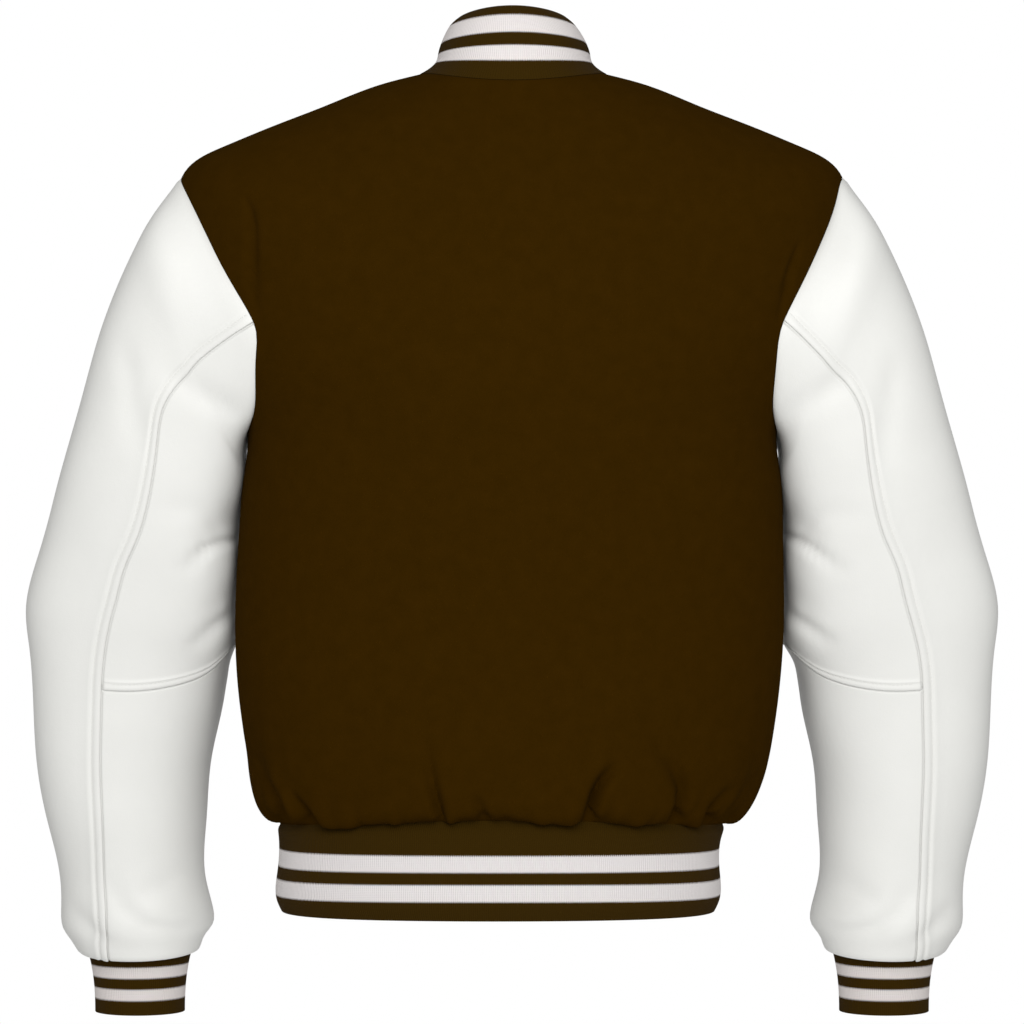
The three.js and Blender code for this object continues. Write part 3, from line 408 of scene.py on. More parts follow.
# The fronts
# Two pieces of the same melton that meet at the side seams and shoulders. The wearer's left one laps over
# the right one by a hand's width of stitched edge, and press studs hold the lap shut.
LAP_HALF = 16
LAP_DEPTH = WOOL_WALL + 0.6
LAP_FADE = 36
FRONT_CREASES = {
    "left": [
        [(-168, -525, 9, 0), (-164, -550, 8, 4), (-154, -583, 6, 6)],
        [(-112, -520, 9, 0), (-114, -550, 8, 4), (-118, -583, 6, 6)],
        [(-86, -540, 7, 0), (-78, -562, 6, 4), (-72, -583, 5, 5)],
        [(-150, -190, 20, 0), (-120, -240, 24, 3), (-95, -300, 26, 0)],
        [(-120, -420, 30, 0), (-100, -480, 26, 2.2), (-92, -540, 20, 0)],
    ],
    "right": [
        [(60, -525, 8, 0), (56, -555, 7, 3), (52, -583, 6, 5)],
        [(92, -540, 8, 0), (94, -562, 6, 5), (96, -583, 5, 7)],
        [(154, -528, 9, 0), (144, -558, 7, 4), (136, -583, 6, 6)],
        [(156, -195, 20, 0), (124, -250, 24, 2.6), (100, -310, 26, 0)],
        [(112, -410, 30, 0), (104, -470, 26, 2.4), (90, -535, 20, 0)],
    ],
}
FRONT_DROOPS = [(-90, 12, 4), (-45, 9, 5), (44, 9, 5), (90, 12, 6)]
FRONT_GATHERS = [
    (-84, 5, 26, 2), (-76, 6, 32, 1.8), (-67, 5, 24, 2.2), (-58, 5, 22, 1.6), (-50, 5, 28, 1.6), (-40, 5, 22, 1.8),
    (-29, 5, 24, 1.5), (29, 5, 22, 1.6), (38, 5, 26, 1.6), (47, 4, 20, 1.8), (56, 6, 30, 1.4), (65, 5, 24, 2),
    (75, 5, 22, 1.8), (83, 6, 30, 2),
]


def lap_angle(x, run):
    at = read_section(BODY, run)
    return np.arcsin(np.clip((x - at["shift"]) / at["half"], -1, 1))


def lap_set_back(grid):
    return LAP_DEPTH * (1 - smoothstep(grid[..., 0], LAP_HALF + 4, LAP_HALF + LAP_FADE))


front_shares = np.linspace(0, 1, 84)
front_left, front_left_grid = body_panel(
    "front_panel_left", True, front_shares,
    lambda s, run, left, right: mix(-left, lap_angle(LAP_HALF, run), s),
    FRONT_CREASES["left"], FRONT_DROOPS, FRONT_GATHERS,
)
dress(front_left, "front_left", melton)
front_right, front_right_grid = body_panel(
    "front_panel_right", True, front_shares,
    lambda s, run, left, right: mix(right, lap_angle(-LAP_HALF, run), s),
    FRONT_CREASES["right"], FRONT_DROOPS, FRONT_GATHERS, lap_set_back,
)
dress(front_right, "front_right", melton)
STITCH_PITCH, STITCH_LENGTH, STITCH_WIDTH, STITCH_HEIGHT = 3.2, 2.5, 0.65, 0.3


def stitch_line(mesh, path, across, axis):
    """Lays stitches end to end along a path of points: rounded bars of thread, flat side to the cloth."""
    steps = np.linalg.norm(np.diff(path, axis=0), axis=1)
    reached = np.concatenate([[0], np.cumsum(steps)])
    middles = np.arange(STITCH_PITCH, reached[-1] - STITCH_PITCH / 2, STITCH_PITCH)

    def at(where, lines):
        return np.stack([np.interp(where, reached, lines[:, i]) for i in range(3)], -1)

    for middle in middles:
        spot = at(middle, path)
        ahead = at(middle + 1, path) - at(middle - 1, path)
        ahead = ahead / np.linalg.norm(ahead)
        beside = at(middle, across)
        beside = beside - ahead * (beside @ ahead)
        beside = beside / np.linalg.norm(beside)
        above = np.cross(ahead, beside)
        above *= np.sign(above[:2] @ (spot[:2] - axis))
        rings = []
        for along, size in ((-0.5, 0.35), (-0.3, 1), (0.3, 1), (0.5, 0.35)):
            centre = spot + ahead * along * STITCH_LENGTH
            corners = ((-1, -0.4), (-0.5, 1), (0.5, 1), (1, -0.4))
            rings.append([
                mesh.verts.new((centre + beside * a * size * STITCH_WIDTH / 2 + above * b * size * STITCH_HEIGHT) * MM)
                for a, b in corners
            ])
        for low, high in zip(rings, rings[1:]):
            for i in range(4):
                mesh.faces.new((low[i], low[(i + 1) % 4], high[(i + 1) % 4], high[i]))
        mesh.faces.new(rings[0][::-1])
        mesh.faces.new(rings[-1])


def thread_piece(name, lines, material, axis=(0, 0)):
    """One piece for all the stitches of a seam or of one arm, which face away from an upright axis."""
    mesh = bmesh.new()
    for path, across in lines:
        stitch_line(mesh, path, across, axis)
    bmesh.ops.recalc_face_normals(mesh, faces=mesh.faces)
    piece = new_piece(name, mesh)
    piece.data.materials.append(material)
    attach(piece, "root")
    return piece


def grid_line(grid, from_last):
    """The line of points at a distance from a grid's last column, and the direction across it."""
    around = arc_lengths(grid)
    path = np.array([
        [np.interp(row[-1] - from_last, row, points[:, i]) for i in range(3)] for row, points in zip(around, grid)
    ])
    return path, grid[:, -1] - path


# Spun polyester topstitching thread in the cloth's own brown
brown_thread, tree = new_material("brown polyester thread")
shader = add_node(
    tree, "ShaderNodeBsdfPrincipled", Base_Color=linear("#3a2508"), Roughness=0.6, Specular_IOR_Level=0.2,
)
add_node(tree, "ShaderNodeOutputMaterial", {}, {"Surface": (shader, 0)})
thread_piece("lap_topstitch", [grid_line(front_left_grid, 6)], brown_thread)

# The hem band
# Double rib knit, seamed to the gathered body and folded at its lower edge. Two off-white stripes are
# knitted in, so their edges step up and down with every rib.
RIB_WALL = 3.6
RIB_PITCH = 1.65
COURSE_PITCH = 1.3
STRIPE_TOOTH = 0.7
BAND = {
    0: (-588.4, -578.9, -584.4, 175, 121, 117, -8),
    14: (-601, -597, -598, 172, 121.5, 118, -9.4),
    38: (-625, -621, -622, 172, 123, 119, -10.4),
    60: (-647, -643, -644, 172.5, 123.5, 119.5, -10.8),
    71: (-656.5, -654, -654, 168.5, 119.5, 116, -10.8),
}
TAB_HALF = 20
BAND_STRIPES = (20.9, 33.6, 43.3, 56)
RIB_BROWN, BAND_WHITE = "#342405", "#e0dbda"


def rib_knit(name, stripes, length, white, shade=0.9):
    """Worsted rib: wales stand up side by side, and the stripes' edges follow them. Painted shade darkens the colour in
    the hollows between the wales, down to shade times its value.
    """
    material, tree = new_material(name)
    place = add_node(tree, "ShaderNodeTexCoord")
    split = add_node(tree, "ShaderNodeSeparateXYZ", {}, {"Vector": (place, "UV")})
    turns = add_node(
        tree, "ShaderNodeMath", {"operation": "MULTIPLY"}, {0: (split, "X")}, _1=2 * math.pi / (RIB_PITCH * MM)
    )
    wales = add_node(tree, "ShaderNodeMath", {"operation": "SINE"}, {0: (turns, 0)})
    rows = add_node(
        tree, "ShaderNodeMath", {"operation": "MULTIPLY"}, {0: (split, "Y")}, _1=2 * math.pi / (COURSE_PITCH * MM)
    )
    courses = add_node(tree, "ShaderNodeMath", {"operation": "SINE"}, {0: (rows, 0)})
    teeth = add_node(
        tree, "ShaderNodeMath", {"operation": "MULTIPLY_ADD"}, {0: (wales, 0), 2: (split, "Y")},
        _1=STRIPE_TOOTH * MM,
    )
    share = add_node(tree, "ShaderNodeMath", {"operation": "DIVIDE"}, {0: (teeth, 0)}, _1=length * MM)
    bars = add_node(tree, "ShaderNodeValToRGB", {}, {"Fac": (share, 0)})
    ramp = bars.color_ramp
    ramp.interpolation = "CONSTANT"
    for i, edge in enumerate((0,) + tuple(stripes)):
        stop = ramp.elements[i] if i < 2 else ramp.elements.new(edge / length)
        stop.position = edge / length
        stop.color = linear(white) if i % 2 else linear(RIB_BROWN)
    fibre = add_node(tree, "ShaderNodeTexNoise", {}, {"Vector": (place, "Object")}, Scale=1600, Detail=2)
    # Painted shade: the colour is darkened in the hollows between the wales, where shade would fall
    painted_groove_shade = add_node(
        tree, "ShaderNodeMapRange", {}, {"Value": (wales, 0)}, From_Min=-1, From_Max=0.4, To_Min=shade, To_Max=1,
    )
    speckle = add_node(
        tree, "ShaderNodeMapRange", {}, {"Value": (fibre, "Fac")}, From_Min=0.3, From_Max=0.7, To_Min=0.94, To_Max=1.04,
    )
    # The painted groove shade and the random fibre speckle together scale the stripe colour
    painted_shade_and_speckle = add_node(tree, "ShaderNodeMath", {"operation": "MULTIPLY"}, {0: (painted_groove_shade, 0), 1: (speckle, 0)})
    colour = add_node(tree, "ShaderNodeVectorMath", {"operation": "SCALE"}, {0: (bars, 0), "Scale": (painted_shade_and_speckle, 0)})
    knit = add_node(
        tree, "ShaderNodeMath", {"operation": "MULTIPLY_ADD"}, {0: (courses, 0), 2: (wales, 0)}, _1=0.25
    )
    relief = add_node(tree, "ShaderNodeBump", {}, {"Height": (knit, 0)}, Strength=0.5, Distance=0.0004)
    fuzz = add_node(
        tree, "ShaderNodeBump", {}, {"Height": (fibre, "Fac"), "Normal": (relief, 0)}, Strength=0.25, Distance=0.0004,
    )
    shader = add_node(
        tree, "ShaderNodeBsdfPrincipled", {}, {"Base Color": (colour, 0), "Normal": (fuzz, 0)},
        Roughness=0.95, Specular_IOR_Level=0.02, Sheen_Weight=0.01, Sheen_Roughness=0.5,
    )
    add_node(tree, "ShaderNodeOutputMaterial", {}, {"Surface": (shader, 0)})
    return material


def rib_ring(name, sections, length, columns, rows, open_half, run_at, settle=lambda grid, run: grid):
    """A rib-knit ring from one side of the front opening, round the back, to the other."""
    share, along = np.meshgrid(np.linspace(0, length, rows), np.linspace(0, 1, columns), indexing="ij")
    gap = math.asin(open_half / read_section(sections, 0)["half"])
    run = run_at(share, mix(-math.pi + gap, math.pi - gap, along))
    open_turn = np.arcsin(open_half / read_section(sections, run)["half"])
    turn = mix(-math.pi + open_turn, math.pi - open_turn, along)
    is_front = abs(turn) > math.pi / 2
    angle = np.where(is_front, np.sign(turn) * (math.pi - abs(turn)), turn)
    before = section_point(sections, run, angle, True)
    behind = section_point(sections, run, angle, False)
    grid = settle(np.where(is_front[..., None], before, behind), run)
    around = arc_lengths(grid)[rows // 2]
    pattern = np.stack([np.broadcast_to(around, run.shape), run], -1)
    return cloth(name, grid, RIB_WALL, pattern, rounding=1.5), grid


SEAM_TUCK = 1.2


def under_the_body(grid, run):
    """The band's top edge follows the seam's groove, and is tucked up behind the melton."""
    grid = into_hem_seam(grid, run)
    grid[0, :, 2] += SEAM_TUCK
    return grid


band, band_grid = rib_ring(
    "hem_band_knit", BAND, 71, 241, 36, TAB_HALF, lambda run, turn: run, under_the_body,
)
band_knit = rib_knit("striped rib knit of the hem, with painted groove shade", BAND_STRIPES, 71, BAND_WHITE)
dress(band, "hem_band", band_knit)

# The hem tabs
# Short lengths of melton that carry the two front edges down beside the ends of the hem band.
# They lap like the fronts, and the lowest stud holds them together.


def tab(name, low, high, set_back):
    """A flat tab; set_back moves it in behind the other tab and lifts its top edge a little."""
    run, x = np.meshgrid(np.linspace(0, 71, 16), np.linspace(low, high, 12), indexing="ij")
    angle = np.arcsin(x / read_section(BAND, run)["half"])
    grid = section_point(BAND, run, angle, True)
    grid[..., 1] -= set_back
    grid[..., 2] += set_back * 0.7 * (1 - smoothstep(run, 0, 14))
    return cloth(name, grid, WOOL_WALL, np.stack([x, run], -1)), grid


tab_left, tab_left_grid = tab("hem_tab_left_cloth", -TAB_HALF + 0.4, LAP_HALF, 0)
dress(tab_left, "hem_tab_left", melton)
tab_right, tab_right_grid = tab("hem_tab_right_cloth", -LAP_HALF, TAB_HALF - 0.4, LAP_DEPTH)
dress(tab_right, "hem_tab_right", melton)
thread_piece("tab_topstitch", [grid_line(tab_left_grid, 6)], brown_thread)

# The collar
# The same rib knit, doubled over at the top and leaning in to the neck. Its two ends are rounded down
# where they meet above the front opening.
COLLAR = {
    0: (-7, -18.6, -79.6, 73, 80, 66, 1),
    8: (-3.5, -11, -72, 67, 77.6, 66.5, 1.2),
    16: (1, -3, -64, 62, 75, 66.5, 1.4),
    32: (10.5, 12.5, -50, 59, 70, 65.5, 1.6),
    48: (24, 27.5, -38, 53.5, 64.5, 62.5, 1),
    57: (32.5, 37, -32.5, 47.5, 60, 59, 0.5),
    62: (36, 41, -31, 43, 56.5, 56.5, 0.5),
}
COLLAR_LENGTH = 62
COLLAR_STRIPES = (15.6, 28, 39.7, 53.1)
# Painted light: the collar's white is set a little lighter than the hem band's, for the light on its upturned face; the
# yarn is the same
COLLAR_WHITE_WITH_PAINTED_LIGHT = "#e4dedc"


def collar_run(run, turn):
    """The collar's height, cut away in a curve towards its two front ends."""
    from_front = (math.pi - abs(turn)) * 73
    corner = np.exp(-((from_front / 24) ** 2))
    return run * (1 - 0.34 * corner * run / COLLAR_LENGTH)


collar, collar_grid = rib_ring("collar_knit", COLLAR, COLLAR_LENGTH, 145, 26, 0.9, collar_run)
collar_knit = rib_knit("striped rib knit of the collar", COLLAR_STRIPES, COLLAR_LENGTH, COLLAR_WHITE_WITH_PAINTED_LIGHT)
dress(collar, "collar", collar_knit)

# The sleeves
# Each sleeve is smooth cowhide in three pieces: a top sleeve, and an under sleeve joined across the elbow.
# The top sleeve's edges are turned in, lapped over the under sleeve and topstitched 7 mm from the edge, and
# the upper under piece is lapped over the lower one at the elbow in the same way.
LEATHER_WALL = 1.8
SLEEVE_END = 642
BLOUSE_DROOP = 5
# Sleeve rings below the armhole: outermost point x, y, z, innermost point x, y, z, half the depth, and how far
# the innermost point lies to the right, where it follows the body's sideways hang
SLEEVE = {
    34: (277.6, -2, -117, 208.6, 8, -302, 80, 0.2, 0.5),
    72: (296, 2, -150, 208, 14, -316, 79, 0.1, 0.5),
    122: (317, 10, -198, 209.8, 18, -334, 78, -0.2, 0.5),
    186: (336, 20, -260, 212.4, 22, -358, 77, -0.7, 0.5),
    250: (355, 32, -322, 213.4, 28, -388, 76, -1.2, 0.5),
    306: (371, 44, -376, 214.4, 36, -418, 75, -1.7, 0.5),
    350: (383, 52, -421, 216, 46, -447, 74, -2, 0.5),
    386: (381, 56, -457, 225, 54, -470, 72, 0, 0.55),
    426: (379, 58, -497, 231, 58, -503, 69, 0, 0.62),
    474: (377, 60, -545, 240, 60, -546, 65, 0, 0.72),
    522: (369, 61, -592, 243.5, 61, -592, 61, 0, 0.82),
    566: (359.5, 62, -636, 244.5, 62, -636, 57, 0, 0.9),
    590: (358.5, 62, -660, 239, 62, -659, 58, 0, 0.95),
    606: (357.5, 62, -676, 238, 62, -674, 57, 0, 1),
    622: (349.5, 62, -688, 246, 62, -686, 50.5, 0, 1),
    634: (343, 62, -695.5, 249.5, 62, -694, 46.5, 0, 1),
    642: (339, 62, -690, 253.2, 62, -688.8, 40.2, 0, 1),
}
# The long back seam: distance below the armhole, and degrees round from the sleeve's outermost line
BACK_SEAM = {
    0: [95.5], 10: [98.2], 27: [102], 47: [101.9], 57: [100], 67: [97.6], 76: [95.3], 90: [92.2], 110: [89.5],
    135: [88.3], 160: [89.6], 190: [90.9], 235: [91.4], 270: [89.3], 302: [85.3], 328: [84.2], 352: [82.6],
    378: [80.4], 403: [78.8], 435: [78.8], 470: [79.5], 515: [78], 545: [75], 575: [71.8], 604: [70.6],
    642: [62],
}
FRONT_SEAM = 105
# The elbow seam: degrees round the sleeve, and distance below the armhole
ELBOW_SEAM = {
    77: [411.3], 97: [411], 113: [407.7], 125: [403.6], 138: [397.5], 150: [389], 160: [377.5], 170: [364.5],
    180: [359], 190: [361], 205: [374], 225: [396], 255: [409],
}
ELBOW_RUN = 410
EDGE_TURN = 0.3 / 70
# A lapped edge's relief: how high it stands, and where the pull of its topstitching lies and how deep it is
LONG_WELT = {"height": 1.0, "stitch": 7.2, "pull": 1.5, "pull_width": 2.1, "end": 14}
ELBOW_WELT = {"height": 1.0, "stitch": 5.4, "pull": 0.8, "pull_width": 1.1, "end": 10}
TUCK = 5
# Creases of each sleeve as seen square on, with across counted outward from the jacket's centre
SLEEVE_BACK_CREASES = {
    "left": [
        [(296, -212, 9, 0), (294, -235, 9, 2.6), (290, -275, 9, 2.4), (288, -312, 10, 0)],
        [(268, -236, 9, 0), (252, -248, 10, 2.4), (236, -259, 10, 3), (212, -270, 8, 3.6), (204, -274, 7, 2)],
        [(280, -347, 9, 0), (258, -345, 9, 1.4), (238, -345, 9, 1.2), (222, -342, 9, 0)],
        [(256, -397, 7, 0), (250, -391, 5, 2), (243, -383, 4, 3.5), (235, -376, 3.6, 5), (213, -368.5, 3.6, 5)],
        [(240, -371, 9, 0), (232, -366, 11, 3), (222, -360, 14, 6), (212, -355, 15, 7), (202, -351, 14, 6)],
        [(252, -455, 8, 0), (245, -450, 6, 2.5), (232, -438, 6, 4), (222, -431, 5, 4.5), (213, -424, 5, 4.5)],
        [(236, -430, 10, 0), (226, -422, 12, 2.5), (214, -414, 13, 4.5), (204, -408, 12, 4)],
        [(296, -652, 8, 0), (284, -645, 9, 2.2), (268, -638, 9, 2.8), (254, -632, 9, 1.5)],
        [
            (314, -628, 8, 0), (309, -645, 9, 2.5), (302, -658, 8, 4), (288, -671, 7, 5), (262, -675, 7, 4),
            (240, -671, 8, 3),
        ],
        [(352, -656, 7, 0), (342, -664, 8, 3), (330, -676, 7, 4), (318, -682, 6, 2)],
        [(350, -560, 16, 0), (346, -610, 16, 1.4), (340, -650, 14, 0)],
        [(330, -330, 22, 0), (336, -380, 22, 1.6), (340, -430, 22, 0)],
    ],
    "right": [
        [(292, -222, 9, 0), (291, -248, 9, 2.6), (288, -282, 9, 2.4), (286, -318, 10, 0)],
        [(262, -240, 9, 0), (246, -252, 10, 2.6), (228, -262, 10, 3.2), (210, -272, 8, 3.6), (204, -276, 7, 2)],
        [(274, -350, 9, 0), (256, -349, 9, 1.6), (238, -348, 9, 1.2), (224, -346, 9, 0)],
        [(257, -400, 7, 0), (251, -392, 5, 2), (242, -384, 4, 3.5), (229, -375.5, 3.6, 5), (210, -365, 3.6, 5)],
        [(238, -374, 9, 0), (230, -368, 11, 3), (220, -360, 14, 6), (210, -354, 15, 6.5), (202, -350, 14, 6)],
        [(252, -455, 8, 0), (244, -448, 6, 2.5), (234, -440, 5, 4), (216, -428.5, 5, 4.5), (208, -418, 5, 4.5)],
        [(236, -430, 10, 0), (225, -422, 12, 2.5), (214, -414, 12, 4), (206, -405, 12, 4)],
        [(292, -656, 8, 0), (282, -650, 9, 2), (266, -641, 9, 2.8), (252, -636, 9, 1.5)],
        [
            (312, -632, 8, 0), (308, -648, 9, 2.8), (300, -661, 8, 4.2), (284, -673, 7, 5), (260, -677, 7, 4),
            (240, -673, 8, 3),
        ],
        [(350, -652, 7, 0), (342, -662, 8, 3), (331, -674, 7, 4), (318, -681, 6, 2)],
        [(346, -556, 16, 0), (344, -604, 16, 1.5), (338, -648, 14, 0)],
        [(328, -336, 22, 0), (335, -386, 22, 1.5), (340, -436, 22, 0)],
    ],
}
SLEEVE_FRONT_CREASES = {
    "left": [
        [(262, -282, 9, 0), (240, -290, 9, 3.5), (216, -300, 9, 4)],
        [(268, -404, 8, 0), (240, -399, 9, 4.5), (214, -392, 9, 5)],
        [(312, -440, 10, 0), (270, -452, 9, 4.5), (228, -462, 9, 5)],
        [(258, -642, 8, 0), (280, -662, 8, 4), (304, -678, 7, 4)],
        [(330, -640, 8, 0), (322, -664, 8, 3), (312, -680, 7, 3)],
    ],
    "right": [
        [(256, -284, 9, 0), (236, -292, 9, 3.2), (214, -303, 9, 4)],
        [(272, -400, 8, 0), (242, -396, 9, 4.5), (214, -389, 9, 5)],
        [(304, -444, 10, 0), (266, -454, 9, 4.8), (227, -463, 9, 5)],
        [(262, -645, 8, 0), (284, -664, 8, 4), (302, -679, 7, 4)],
        [(336, -644, 8, 0), (326, -666, 8, 3), (314, -681, 7, 3)],
    ],
}
sleeve_knots = [0] + list(SLEEVE)


def armhole_point(turn, side):
    """The armhole seam as a loop: turn 0 is the shoulder tip, and a quarter turn is the back."""
    share = (1 + np.cos(turn)) / 2
    run = mix(UNDERARM_RUN, TIP_RUN, share)
    before = body_point(run, side * armhole_angle(share, True, side), True, FRONT_DROOPS)
    behind = body_point(run, side * armhole_angle(share, False, side), False, BACK_DROOPS)
    point = np.where((np.sin(turn) < 0)[..., None], before, behind)
    point[..., 0] *= side
    return point


def sleeve_point(run, turn, side):
    """The smooth form of a sleeve at a distance below the armhole and a turn round it, as a right sleeve."""
    weights = natural_curve(sleeve_knots, np.eye(len(sleeve_knots)), run)
    outward = (1 + np.cos(turn)) / 2
    across = np.sin(turn)
    point = weights[..., 0:1] * armhole_point(turn, side)
    for i, ring in enumerate(SLEEVE.values()):
        out, inner = np.array(ring[0:3]), np.array(ring[3:6], float)
        inner[0] += side * ring[7]
        spot = mix(inner, out, outward[..., None])
        spot[..., 1] -= ring[6] * np.sign(across) * abs(across) ** ring[8]
        point += weights[..., i + 1 : i + 2] * spot
    start = 0.28 * (1 - smoothstep(run, 0, 8))
    point[..., 0] += start
    hang = BLOUSE_DROOP * abs(across) * smoothstep(run, 595, 630) * (1 - smoothstep(run, 634, SLEEVE_END))
    point[..., 2] -= start + hang
    return point


def back_seam_turn(run):
    return np.radians(read_table(BACK_SEAM, run)[0])


def elbow_run(turn):
    return read_table(ELBOW_SEAM, np.degrees(turn))[0]


def top_turn(share, run):
    return mix(-math.radians(FRONT_SEAM) + EDGE_TURN, back_seam_turn(run) - EDGE_TURN, share)


def under_turn(share, run):
    return mix(back_seam_turn(run) + EDGE_TURN, 2 * math.pi - math.radians(FRONT_SEAM) - EDGE_TURN, share)


def welt(distance, height, stitch, pull, pull_width, end):
    """A lapped edge: rolled under at its rim, standing up, and pulled down along its topstitching."""
    raised = smoothstep(distance, -0.4, 1.2) * (1 - smoothstep(distance, stitch + 1, end))
    return height * raised - pull * np.exp(-(((distance - stitch) / pull_width) ** 2))


def tucked(distance, raised):
    """The edge below the lap: it dips under the other piece's wall, which stands up by raised."""
    return -(LEATHER_WALL + 0.1 - raised) * (1 - smoothstep(distance, 0.1, 1.8))


EDGE_STEPS = np.array([0, 0.5, 1.2, 2.4, 3.8, 5, 6, 6.7, 7.3, 8, 9, 10.2, 11.8, 13.6])
TUCK_STEPS = np.array([-TUCK, -3, -1.2, 0, 0.5, 1, 1.6, 2.4, 4, 7])


def edge_shares(width, steps, edge_steps):
    """Column positions for rows of these widths: fine along both edges and even between."""
    fine = edge_steps / width[:, None]
    middle = mix(fine[:, -1:], 1 - fine[:, -1:], np.linspace(0, 1, steps)[None, 1:-1])
    return np.concatenate([fine, middle, 1 - fine[:, ::-1]], axis=1)


def sleeve_panel(name, hand, turn_at, run_at, rows, steps, edge_steps, relief_at):
    """One leather piece. relief_at gives its edges' relief from the distances to its sides."""
    side = LEFT if hand == "left" else RIGHT
    coarse_row, coarse = np.meshgrid(rows, np.linspace(0, 1, 25), indexing="ij")
    coarse_run = run_at(coarse, coarse_row)
    width = arc_lengths(sleeve_point(coarse_run, turn_at(coarse, coarse_run), side))[:, -1]
    share = edge_shares(width, steps, edge_steps)
    row = np.broadcast_to(np.asarray(rows)[:, None], share.shape)
    run = run_at(share, row)
    turn = turn_at(share, run)
    grid = sleeve_point(run, turn, side)
    outward = surface_normals(grid)
    outward *= np.sign((outward * (grid - (grid[:, :1] + grid[:, -1:]) / 2)).sum())
    facing = abs(np.sin(turn)) ** 0.5
    hold = smoothstep(run, 0, 30) * (1 - smoothstep(run, 622, SLEEVE_END))
    sink = np.where(
        np.sin(turn) > 0,
        crease_depth(SLEEVE_BACK_CREASES[hand], grid[..., 0], grid[..., 2]),
        crease_depth(SLEEVE_FRONT_CREASES[hand], grid[..., 0], grid[..., 2]),
    )
    from_first, from_last = share * width[:, None], (1 - share) * width[:, None]
    relief = relief_at(from_first, from_last, run, turn)
    head = 0.9 * np.exp(-((run / 9) ** 2)) * smoothstep(run, 0, 2.5)
    grid = grid + outward * (relief + head - sink * hold * facing)[..., None]
    grid[..., 0] *= side
    pattern = np.stack([from_first, run], -1)
    return cloth(name, grid, LEATHER_WALL, pattern, axis=(side * 290, 30)), grid


def sleeve_rows(first, last, spacing, fine_first=(), fine_last=()):
    """Row shares from 0 to 1, fine beside an elbow seam."""
    length = last - first
    inner = list(np.linspace(0, 1, int(length / spacing) + 1))
    if len(fine_first):
        edge = (np.asarray(fine_first) - fine_first[0]) / length
        inner = list(edge) + [r for r in inner if r > edge[-1] + 0.3 * spacing / length]
    if len(fine_last):
        edge = np.asarray(fine_last) / length
        inner = [r for r in inner if r < 1 - edge[-1] - 0.3 * spacing / length] + list(1 - edge[::-1])
    return np.array(inner)


# Leather: full-grain cowhide with a smooth white finish. The finish is satin, the grain below it is fine,
# about 0.9 mm across, and broad flex marks soften the light.
LEATHER_LIGHT, LEATHER_SHADE = "#e5e5e1", "#dededa"
leather, tree = new_material("smooth white cowhide")
place = add_node(tree, "ShaderNodeTexCoord")
clouds = add_node(tree, "ShaderNodeTexNoise", {}, {"Vector": (place, "Object")}, Scale=22, Detail=3)
grain = add_node(tree, "ShaderNodeTexVoronoi", {"feature": "SMOOTH_F1"}, {"Vector": (place, "Object")}, Scale=1100)
flex = add_node(
    tree, "ShaderNodeTexNoise", {}, {"Vector": (place, "Object")}, Scale=160, Detail=5, Roughness=0.6,
)
colour = add_node(
    tree, "ShaderNodeMix", {"data_type": "RGBA"}, {0: (clouds, "Fac")},
    _6=linear(LEATHER_SHADE), _7=linear(LEATHER_LIGHT),
)
pores = add_node(tree, "ShaderNodeBump", {}, {"Height": (grain, "Distance")}, Strength=0.12, Distance=0.0005)
marks = add_node(
    tree, "ShaderNodeBump", {}, {"Height": (flex, "Fac"), "Normal": (pores, 0)}, Strength=0.12, Distance=0.0012,
)
shader = add_node(
    tree, "ShaderNodeBsdfPrincipled", {}, {"Base Color": (colour, 2), "Normal": (marks, 0)},
    Roughness=0.46, Specular_IOR_Level=0.35,
)
add_node(tree, "ShaderNodeOutputMaterial", {}, {"Surface": (shader, 0)})
white_thread, tree = new_material("white polyester thread")
shader = add_node(
    tree, "ShaderNodeBsdfPrincipled", Base_Color=linear("#dcdcd8"), Roughness=0.6, Specular_IOR_Level=0.2,
)
add_node(tree, "ShaderNodeOutputMaterial", {}, {"Surface": (shader, 0)})


def seam_ends(run):
    """The welts of the long seams flatten out into the armhole and the cuff."""
    return smoothstep(run, 0, 10) * (1 - smoothstep(run, 630, SLEEVE_END))


def top_relief(from_front, from_back, run, turn):
    return (welt(from_front, **LONG_WELT) + welt(from_back, **LONG_WELT)) * seam_ends(run)


def under_sides(from_back, from_front, run):
    raised = LONG_WELT["height"] * seam_ends(run)
    return tucked(from_back, raised) + tucked(from_front, raised)


def upper_relief(from_back, from_front, run, turn):
    beside_seams = smoothstep(np.minimum(from_back, from_front), 0, 3)
    return under_sides(from_back, from_front, run) + welt(elbow_run(turn) - 0.3 - run, **ELBOW_WELT) * beside_seams


def lower_relief(from_back, from_front, run, turn):
    at_elbow = tucked(run - elbow_run(turn), ELBOW_WELT["height"])
    return np.minimum(under_sides(from_back, from_front, run), at_elbow)


def upper_run(share, row):
    return row * (elbow_run(under_turn(share, ELBOW_RUN * np.ones_like(share))) - 0.3)


def lower_run(share, row):
    start = elbow_run(under_turn(share, ELBOW_RUN * np.ones_like(share))) - TUCK
    return mix(start, SLEEVE_END, row)


